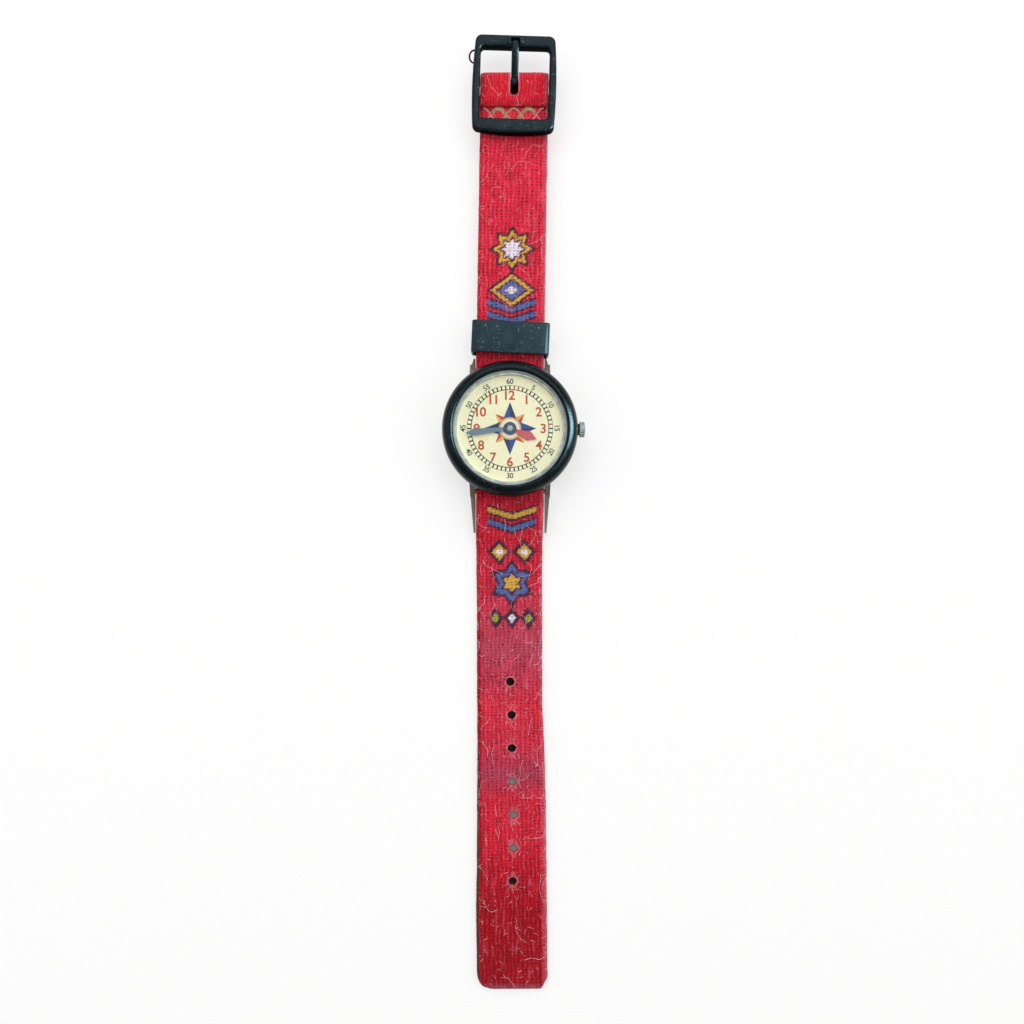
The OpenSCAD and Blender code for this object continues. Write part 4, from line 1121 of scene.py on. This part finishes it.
ink = Print()
for k in range(12):
    a = math.radians(30 * k)
    ink.number(str(k or 12), HOUR_SIZE, polar(HOUR_R, a), 0, "red", 0.055)
    turn = -30 * k if k <= 3 or k >= 9 else 180 - 30 * k
    ink.number(str(5 * k or 60), MINUTE_SIZE, polar(MINUTE_R, a), turn, "slate", 0.02)
ink.band(7.7, 7.86, "black", 1, n=120)
ink.band(8.54, 8.62, "black", 1, n=120)
for k in range(60):
    ink.band(7.8, 8.6, "red" if k in (1, 2, 14) else "black", 1.2, 6 * k - 0.95, 6 * k + 0.95, 1)
# an eight-pointed star in two layers of four points, each point in two tones
layers = [(("blue", "navy"), 5.3, 2.1, 1.6), (("gold", "rose"), 4.1, 1.9, 1.3)]
for k, (colours, reach, width, level) in enumerate(layers):
    for n in range(4):
        a = math.radians(90 * n + 45 * k)
        for sign, colour in zip((-1, 1), colours):
            loop = [(0, 0), polar(width, a + sign * math.radians(45)), polar(reach, a)]
            ink.shape(loop if sign < 0 else list(reversed(loop)), colour, level)
ink.band(2.0, 2.25, "gold", 2.2)
ink.band(0.0, 1.95, "white", 2.1)
printed = make("dial_print", ink.verts, ink.faces, [INK[name] for name in ink.inks], ink.kinds, 0)
bm = bmesh.new()
bm.from_mesh(printed.data)
for f in bm.faces:
    f.normal_update()
    if f.normal.z < 0:
        f.normal_flip()
bm.to_mesh(printed.data)
bm.free()
belongs(printed, "case", "dial_cream")

# floor, light and camera

FLOOR_HALF, FLOOR_Z, GLOW = 3, -0.00004, 0.6
corners = [(x * FLOOR_HALF, y * FLOOR_HALF, FLOOR_Z) for x, y in ((-1, -1), (1, -1), (1, 1), (-1, 1))]
floor_mesh = bpy.data.meshes.new("floor")
floor_mesh.from_pydata(corners, [], [(0, 1, 2, 3)])
floor = put("floor", floor_mesh)
paper = Shade("floor_paper", (0.97, 0.97, 0.97), 0.9, Specular_IOR_Level=0.0)
cloud = paper.noise(paper.coords(), 0.05)
paper.set({"Base Color": paper.mix(cloud, (0.985, 0.975, 0.965), (0.97, 0.96, 0.95))})
# part of the floor's white is its own, for the camera and for reflections
rays = paper.add("ShaderNodeLightPath").outputs
seen = paper.math("MAXIMUM", rays["Is Camera Ray"], rays["Is Glossy Ray"])
seen = paper.mul(paper.math("MAXIMUM", seen, rays["Is Transmission Ray"]), GLOW)
white = paper.add("ShaderNodeEmission", {"Color": (1.0, 1.0, 1.0, 1.0), "Strength": 1.0})
sheet = paper.add("ShaderNodeMixShader", {0: seen, 1: paper.bsdf.outputs[0], 2: white.outputs[0]})
target = next(n for n in paper.nodes if n.type == "OUTPUT_MATERIAL")
paper.links.new(sheet.outputs[0], target.inputs["Surface"])
floor_mesh.materials.append(paper.mat)


def area(name, place, size, power, colour, aim=(0, 0, 0), diffuse=True, glossy=True):
    """A soft rectangular lamp, in metres and watts."""
    lamp = bpy.data.lights.new(name, "AREA")
    lamp.shape, lamp.size, lamp.size_y, lamp.energy, lamp.color = "RECTANGLE", *size, power, colour
    holder = put(name, lamp)
    holder.location = place
    holder.visible_diffuse, holder.visible_glossy = diffuse, glossy
    holder.rotation_euler = (Vector(aim) - Vector(place)).to_track_quat("-Z", "Y").to_euler()


area("window_right", (0.36, 0.05, 0.34), (0.16, 0.42), 14.0, (0.72, 0.92, 1.0), diffuse=False)
area("sky_left", (-0.5, 0.1, 0.4), (0.5, 0.6), 1.2, (0.95, 0.98, 1.0))
area("sky_right", (0.5, 0.0, 0.4), (0.5, 0.6), 1.05, (0.97, 0.99, 1.0), glossy=False)
area("top_soft", (0.0, 0.5, 0.55), (0.7, 0.7), 3.3, (0.98, 0.99, 1.0), (0, -0.02, 0))
world = bpy.data.worlds.new("studio")
bpy.context.scene.world = world
world.use_nodes = True
sky = next(n for n in world.node_tree.nodes if n.type == "BACKGROUND")
sky.inputs["Color"].default_value = (1.0, 0.99, 0.98, 1.0)
sky.inputs["Strength"].default_value = 0.45

FIELD, SENSOR = math.radians(61.2), 36
camera = put("camera", bpy.data.cameras.new("camera"))
camera.data.sensor_width = SENSOR
camera.data.lens = SENSOR / 2 / math.tan(FIELD / 2)
camera.data.clip_start, camera.data.clip_end = 0.005, 10
camera.location = (0.00041, -0.0167, 0.180)
bpy.context.scene.camera = camera
bpy.context.scene.view_settings.view_transform = "Standard"
